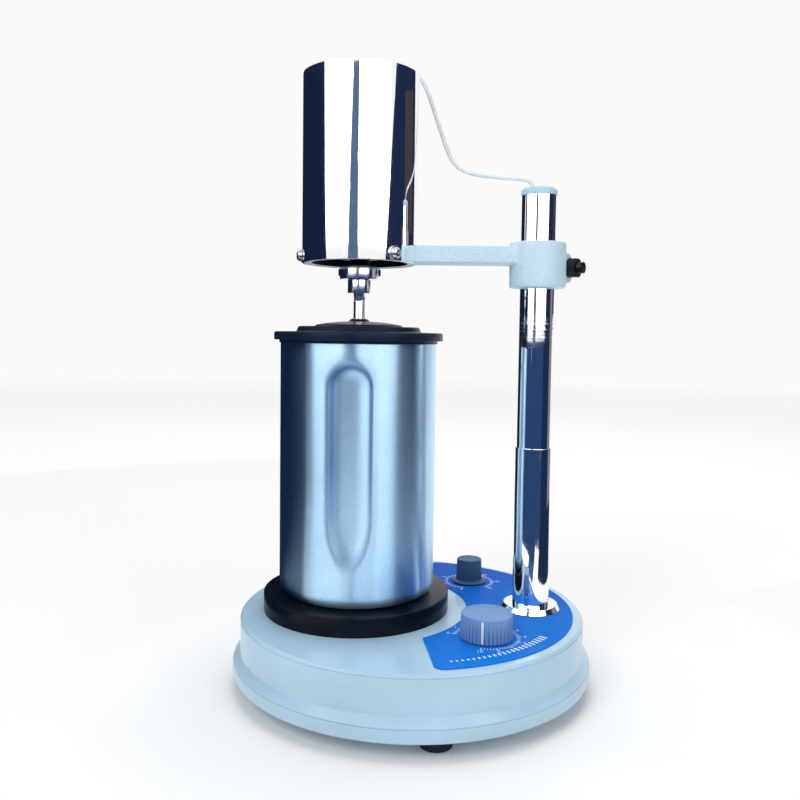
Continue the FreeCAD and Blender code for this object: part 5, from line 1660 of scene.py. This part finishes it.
@dataclass
class Cover:
    """The bright can over the motor, its screws and the rubber grommet of the lead."""

    centre: tuple[float, float] = (CUP_X, 0.0)
    radius: float = 40.0
    wall: float = 0.8
    low: float = 290.9
    top: float = 421.2
    notch_half: float = 12.3
    notch_top: float = 303.7
    screw_azimuths: Sequence[float] = (69.5, 189.5, 309.5)
    screw_level: float = 295.9

    def build(self) -> None:
        """Make and dress the can, its screws and the grommet."""
        ride(self.can(), Body.ARM, COVER_CHROME, Slot.CHROME, "motor_cover")
        ride(self.screws(), Body.ARM, SCREW_STEEL, Slot.MACHINED, "cover_screws")
        grommet = turned("rubber_grommet", [
            (1.5, self.top - 2.3), (4, self.top - 2.3, 0.4), (4, self.top - 0.8), (2.8, self.top - 0.8),
            (2.8, self.top), (3.6, self.top, 0.3), (3.0, self.top + 2.0, 0.7), (1.5, self.top + 2.0, 0.3),
        ], (-33.0, 20.0), steps=48)
        ride(grommet, Body.ARM, RUBBER, Slot.RUBBER, "lead_grommet")

    def can(self) -> Piece:
        """The spun can: a rolled lower edge, a rounded shoulder and a flat top."""
        inside = self.radius - self.wall
        can = turned("bright_can", [
            (0, self.top - self.wall), (inside, self.top - self.wall, 1.2), (inside, self.low),
            (self.radius, self.low, 0.35), (self.radius, self.top, 2.2), (0, self.top),
        ], self.centre, steps=240, parts=8)
        notch = block("notch", (CUP_X + 30, -self.notch_half, self.low - 3),
                      (CUP_X + self.radius + 4, self.notch_half, self.notch_top))
        hole = drum("lead_hole", 2.8, self.top - 4, self.top + 3, (-33.0, 20.0), 48)
        holes = [notch, hole]
        for azimuth in self.screw_azimuths:
            bore = drum("screw_hole", 2.2, self.radius - 4, self.radius + 3, sides=24)
            holes.append(moved(bore, (*self.centre, self.screw_level), toward(azimuth)))
        return smooth(combined(can, holes), 30.0)

    def screws(self) -> Piece:
        """Three pan head screws with crossed recesses, each on its washer."""
        screws = []
        for azimuth in self.screw_azimuths:
            face = self.radius + 0.8
            head = turned("pan_head", [
                (0, face - 7.5), (1.9, face - 7.5), (1.9, face), (3.8, face, 0.3), (3.8, face + 1.6, 0.9),
                (2.6, face + 2.9, 1.6), (0, face + 3.2),
            ], steps=48)
            cross = [block("cross", (-2.1, -0.42, face + 1.7), (2.1, 0.42, face + 4)),
                     block("cross", (-0.42, -2.1, face + 1.7), (0.42, 2.1, face + 4))]
            head = smooth(combined(head, cross), 32.0)
            washer = turned("washer", [
                (1.95, self.radius), (4.8, self.radius, 0.2), (4.8, face, 0.2), (1.95, face),
            ], steps=48)
            screw = joined("cover_screw", [head, washer])
            screws.append(moved(screw, (*self.centre, self.screw_level), toward(azimuth)))
        return joined("can_screws", screws)


COVER = Cover()


@dataclass
class Lead:
    """The motor's white lead, from the can's top over its edge to the post's cap."""

    diameter: float = 3.0
    length: float = 175.9
    route: Sequence[Point] = (
        (-33.0, 20.0, 423.2), (-33.0, 20.0, 428.6), (-30.4, 20.2, 433.2), (-25.9, 20.5, 436.0), (-20.0, 21.0, 436.4),
        (-13.5, 21.5, 434.8), (-7.0, 22.0, 432.2), (-1.2, 22.4, 428.0), (3.9, 22.6, 421.8), (7.4, 22.6, 413.6),
        (10.7, 22.2, 404.0), (14.7, 21.0, 392.0), (20.0, 19.3, 376.5), (26.0, 17.5, 363.0), (38.0, 13.5, 356.2),
        (53.5, 8.2, 353.6), (70.0, 2.5, 351.4), (79.7, 0.0, 349.6), (79.7, 0.0, 344.6),
    )

    def curve(self, thickness: float) -> Piece:
        """The lead's line as a smooth curve.

        Args:
            thickness: The tube's radius, or nought for the bare line.

        Returns:
            The curve.
        """
        data = bpy.data.curves.new("lead_line", "CURVE")
        data.dimensions = "3D"
        spline = data.splines.new("NURBS")
        spline.points.add(len(self.route) - 1)
        for point, place in zip(spline.points, self.route):
            point.co = (*(Vector(place) * MM), 1.0)
        spline.order_u = 3
        spline.use_endpoint_u = True
        spline.resolution_u = 10
        data.bevel_depth = thickness * MM
        data.bevel_resolution = 6
        data.use_fill_caps = True
        line = bpy.data.objects.new("lead_line", data)
        bpy.context.scene.collection.objects.link(line)
        return line

    def build(self) -> None:
        """Make the lead as a tube along a curved line from the can's top to the post's cap."""
        line = self.curve(0.0)
        bpy.context.view_layer.update()
        drawn = bpy.data.meshes.new_from_object(line)
        bpy.data.objects.remove(line)
        tube = self.curve(self.diameter / 2)
        pick(tube)
        bpy.ops.object.convert(target="MESH")
        tube = named("white_lead")
        with editing(tube):
            bpy.ops.mesh.remove_doubles(threshold=1e-6)
            bpy.ops.mesh.normals_make_consistent(inside=False)
        smooth(tube, 50.0)
        tube.data.materials.clear()
        tube.data.materials.append(LEAD_SHEATH.material())
        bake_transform(tube)
        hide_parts("motor_lead")
        LOG.info("%s bends between cap and arm", tube.name)


@dataclass
class Inside:
    """The finishes of what is held inside and keeps its construction's shape."""

    finishes: dict[str, Finish] = field(default_factory=lambda: {
        "armature_core": LAMINATIONS, "armature_windings": COPPER, "board_screws": SCREW_STEEL,
        "board_standoffs": BOARD_WHITE, "brush_holders": DARK_PLASTIC, "carbon_brushes": CARBON,
        "case_screws": SCREW_STEEL, "commutator": COMMUTATOR, "control_board": BOARD,
        "control_nuts": SCREW_STEEL, "cooling_fan": FAN_PLASTIC, "field_coils": COPPER,
        "film_capacitor": FILM_CASE, "foot_nuts": SCREW_STEEL, "foot_screws": SCREW_STEEL,
        "gland_nut": DARK_PLASTIC, "heat_sink": ALLOY, "line_transformer": LAMINATIONS,
        "motor_bearings": SCREW_STEEL, "motor_lower_bracket": SHADE_BLACK_IRON, "motor_upper_bracket": ALLOY,
        "post_lock_nut": SCREW_STEEL, "speed_control": GALVANISED, "timer_control": GALVANISED,
        "speed_shaft": SCREW_STEEL, "timer_shaft": SCREW_STEEL, "stator_core": LAMINATIONS,
        "terminal_block": BOARD_WHITE, "tie_rods": SCREW_STEEL,
    })

    def build(self) -> None:
        """Dress every inner node."""
        for node, finish in self.finishes.items():
            dress(node, finish)


# The studio


@dataclass
class Card:
    """A screen that only shows in reflections, bent round the cup's axis."""

    name: str
    start: float
    end: float
    outline: Sequence[tuple[float, float]]
    colour: Colour
    lean: tuple[float, float] = (0.0, 0.0)
    centre: tuple[float, float] = (CUP_X, 0.0)

    def lean_edges(self, sheet: Piece) -> None:
        """Turn the screen's top further round than its foot, each of its two edges by its own lean.

        Args:
            sheet: The swept screen, which starts at azimuth zero.
        """
        low, high = (limit(level for _, level in self.outline) for limit in (min, max))
        for vertex in sheet.data.vertices:
            azimuth = math.degrees(math.atan2(vertex.co.y, vertex.co.x)) % 360.0
            across = 0.0 if azimuth > 359.0 else azimuth / (self.end - self.start)
            share = (vertex.co.z / MM - low) / (high - low)
            turn = share * (self.lean[0] * (1.0 - across) + self.lean[1] * across)
            vertex.co = Matrix.Rotation(math.radians(turn), 3, "Z") @ vertex.co

    def build(self) -> None:
        """Draw the screen's outline, sweep it, and let only reflections see it."""
        sheet = turned(self.name, self.outline, closed=False, steps=48, sweep=self.end - self.start)
        if any(self.lean):
            self.lean_edges(sheet)
        moved(sheet, (*self.centre, 0.0), Matrix.Rotation(math.radians(self.start), 4, "Z"))
        sheet.data.materials.clear()
        sheet.data.materials.append(screen_material(self.name, self.colour))
        for ray in ("camera", "diffuse", "transmission", "volume_scatter", "shadow"):
            setattr(sheet, "visible_" + ray, False)


@dataclass
class Lamp:
    """One soft lamp that looks at a place on the object."""

    name: str
    place: Point
    aim: Point
    size: float
    power: float
    colour: Colour = (1.0, 1.0, 1.0)

    def build(self) -> None:
        """Hang the lamp and turn it to its aim."""
        data = bpy.data.lights.new(self.name, "AREA")
        data.shape = "SQUARE"
        data.size = self.size
        data.energy = self.power
        data.color = self.colour
        lamp = bpy.data.objects.new(self.name, data)
        bpy.context.scene.collection.objects.link(lamp)
        lamp.visible_glossy = False
        lamp.location = self.place
        lamp.rotation_euler = (Vector(self.aim) - Vector(self.place)).to_track_quat("-Z", "Y").to_euler()


@dataclass
class Studio:
    """Camera, pale floor, soft lamps and the dark screens that the chrome shows."""

    place: Point = (4.936, -572.687, 241.746)
    lens: float = 36.649
    shift: float = -0.0227
    pitch: float = 3.279
    roll: float = 0.748
    yaw: float = 1.517
    daylight: float = 0.52
    background: float = 0.955
    lamps: Sequence[Lamp] = (
        Lamp("key_lamp", (-0.9, -1.3, 1.5), (0.0, 0.0, 0.15), 0.9, 11.0),
        Lamp("fill_lamp", (1.3, -1.1, 1.0), (0.0, 0.0, 0.2), 0.9, 3.0),
        Lamp("top_lamp", (0.1, 0.4, 1.9), (0.0, 0.0, 0.1), 1.2, 16.0),
    )
    cards: Sequence[Card] = (
        Card("front_light", 204.0, 334.0, ((1010.0, 330.0), (1010.0, 1100.0)), (3.2, 3.2, 3.2)),
        Card("floor_light", 206.0, 326.0, ((190.0, 0.8), (395.0, 0.8)), (1.6, 1.65, 1.7)),
        Card("left_low_screen", 100.0, 198.0, ((1000.0, 1.0), (1000.0, 290.0)), (0.008, 0.014, 0.04)),
        Card("left_screen", 100.0, 208.0, ((1000.0, 290.0), (1000.0, 820.0)), (0.008, 0.014, 0.04), (0.0, -10.0)),
        Card("right_low_screen", -41.0, 27.0, ((990.0, 1.0), (990.0, 300.0)), (0.012, 0.024, 0.07)),
        Card("right_screen", -35.0, 47.0, ((1000.0, 300.0), (1000.0, 820.0)), (0.012, 0.022, 0.06), (21.0, 0.0)),
        Card("front_skirt", 200.0, 298.0, ((400.0, 1.0), (1000.0, 1.0), (1000.0, 285.0)), (0.022, 0.052, 0.14)),
        Card("front_corner", 298.0, 322.0, ((560.0, 1.0), (1000.0, 1.0), (1000.0, 285.0)), (0.022, 0.052, 0.14)),
        Card("front_mat", 265.0, 298.0, ((290.0, 1.2), (400.0, 1.2)), (0.05, 0.1, 0.24)),
        Card("left_skirt", 100.0, 198.0, ((185.0, 1.0), (1000.0, 1.0)), (0.012, 0.022, 0.06)),
        Card("right_skirt", -40.0, 30.0, ((370.0, 1.0), (1000.0, 1.0)), (0.012, 0.022, 0.06)),
        Card("warm_screen", 9.0, 36.0, ((970.0, 400.0), (970.0, 720.0)), (0.06, 0.045, 0.05)),
        Card("warm_low_screen", 3.0, 24.0, ((970.0, 1.0), (970.0, 400.0)), (0.25, 0.2, 0.22)),
        Card("middle_strip", 252.0, 271.5, ((552.5, 255.0), (552.5, 640.0)), (0.1, 0.15, 0.24), (8.5, 0.0)),
    )

    def camera(self) -> None:
        """Set the camera where the photograph was taken from."""
        data = bpy.data.cameras.new("camera")
        data.lens = self.lens
        data.sensor_width = 36.0
        data.shift_y = self.shift
        data.clip_start = 0.01
        camera = bpy.data.objects.new("camera", data)
        bpy.context.scene.collection.objects.link(camera)
        yaw, pitch, roll = (math.radians(turn) for turn in (self.yaw, self.pitch, self.roll))
        right = Vector((math.cos(yaw), math.sin(yaw), 0.0))
        ahead = Vector((-math.sin(yaw) * math.cos(pitch), math.cos(yaw) * math.cos(pitch), -math.sin(pitch)))
        above = right.cross(ahead)
        across = math.cos(roll) * right + math.sin(roll) * above
        upward = math.cos(roll) * above - math.sin(roll) * right
        turn = Matrix((across, upward, -ahead)).transposed().to_4x4()
        camera.matrix_world = Matrix.Translation(Vector(self.place) * MM) @ turn
        bpy.context.scene.camera = camera

    def floor(self) -> None:
        """Lay the pale floor, which keeps the object's shadow."""
        deselect()
        bpy.ops.mesh.primitive_plane_add(size=9.0)
        floor = named("pale_floor")
        mixer = Mixer("floor_card")
        cloud = mixer.noise(3.0, 2.0)
        colour = mixer.blend(cloud, (0.9, 0.9, 0.9), (0.93, 0.93, 0.93))
        mixer.set(Base_Color=colour, Roughness=0.7, Specular_IOR_Level=0.2)
        light = mixer.nodes.new("ShaderNodeLightPath")
        seen = mixer.sum("MAXIMUM", light.outputs["Is Camera Ray"], light.outputs["Is Glossy Ray"])
        far = mixer.nodes.new("ShaderNodeVectorMath")
        far.operation = "LENGTH"
        mixer.plug(far.inputs[0], mixer.place)
        glow = mixer.spread(far.outputs["Value"], 0.035, 0.245, 0.25, 1.5)
        glow = mixer.sum("ADD", glow, mixer.spread(far.outputs["Value"], 0.0, 0.18, 1.5, 3.9))
        mixer.set(Emission_Color=(1.0, 1.0, 1.0), Emission_Strength=mixer.sum("MULTIPLY", seen, glow))
        floor.data.materials.append(mixer.material)

    def world(self) -> None:
        """Light the room evenly, and show it white to the camera and in reflections."""
        world = bpy.data.worlds.new("studio")
        bpy.context.scene.world = world
        world.use_nodes = True
        nodes, links = world.node_tree.nodes, world.node_tree.links
        light = nodes.new("ShaderNodeLightPath")
        seen = light.outputs["Is Camera Ray"]
        for ray in ("Is Glossy Ray", "Is Transmission Ray"):
            most = nodes.new("ShaderNodeMath")
            most.operation = "MAXIMUM"
            links.new(seen, most.inputs[0])
            links.new(light.outputs[ray], most.inputs[1])
            seen = most.outputs[0]
        share = nodes.new("ShaderNodeMapRange")
        links.new(seen, share.inputs["Value"])
        share.inputs["To Min"].default_value = self.daylight
        share.inputs["To Max"].default_value = self.background
        links.new(share.outputs[0], nodes["Background"].inputs["Strength"])
        nodes["Background"].inputs["Color"].default_value = (1.0, 1.0, 1.0, 1.0)

    def build(self) -> None:
        """Set up the floor, the world, the lamps and the screens."""
        bpy.context.scene.view_settings.view_transform = "Standard"
        self.floor()
        self.world()
        for lamp in self.lamps:
            lamp.build()
        for card in self.cards:
            card.build()


def main() -> None:
    """Build the studio and the object."""
    logging.basicConfig(level=logging.INFO, format="%(message)s")
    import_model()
    studio = Studio()
    studio.camera()
    parts = [Lead(), Base(), Panel(), Post(), Cup(), Drive(), Arm(), COVER, Inside(), studio]
    for part in parts:
        part.build()
        LOG.info("%s is done", type(part).__name__)


if __name__ == "__main__":
    main()
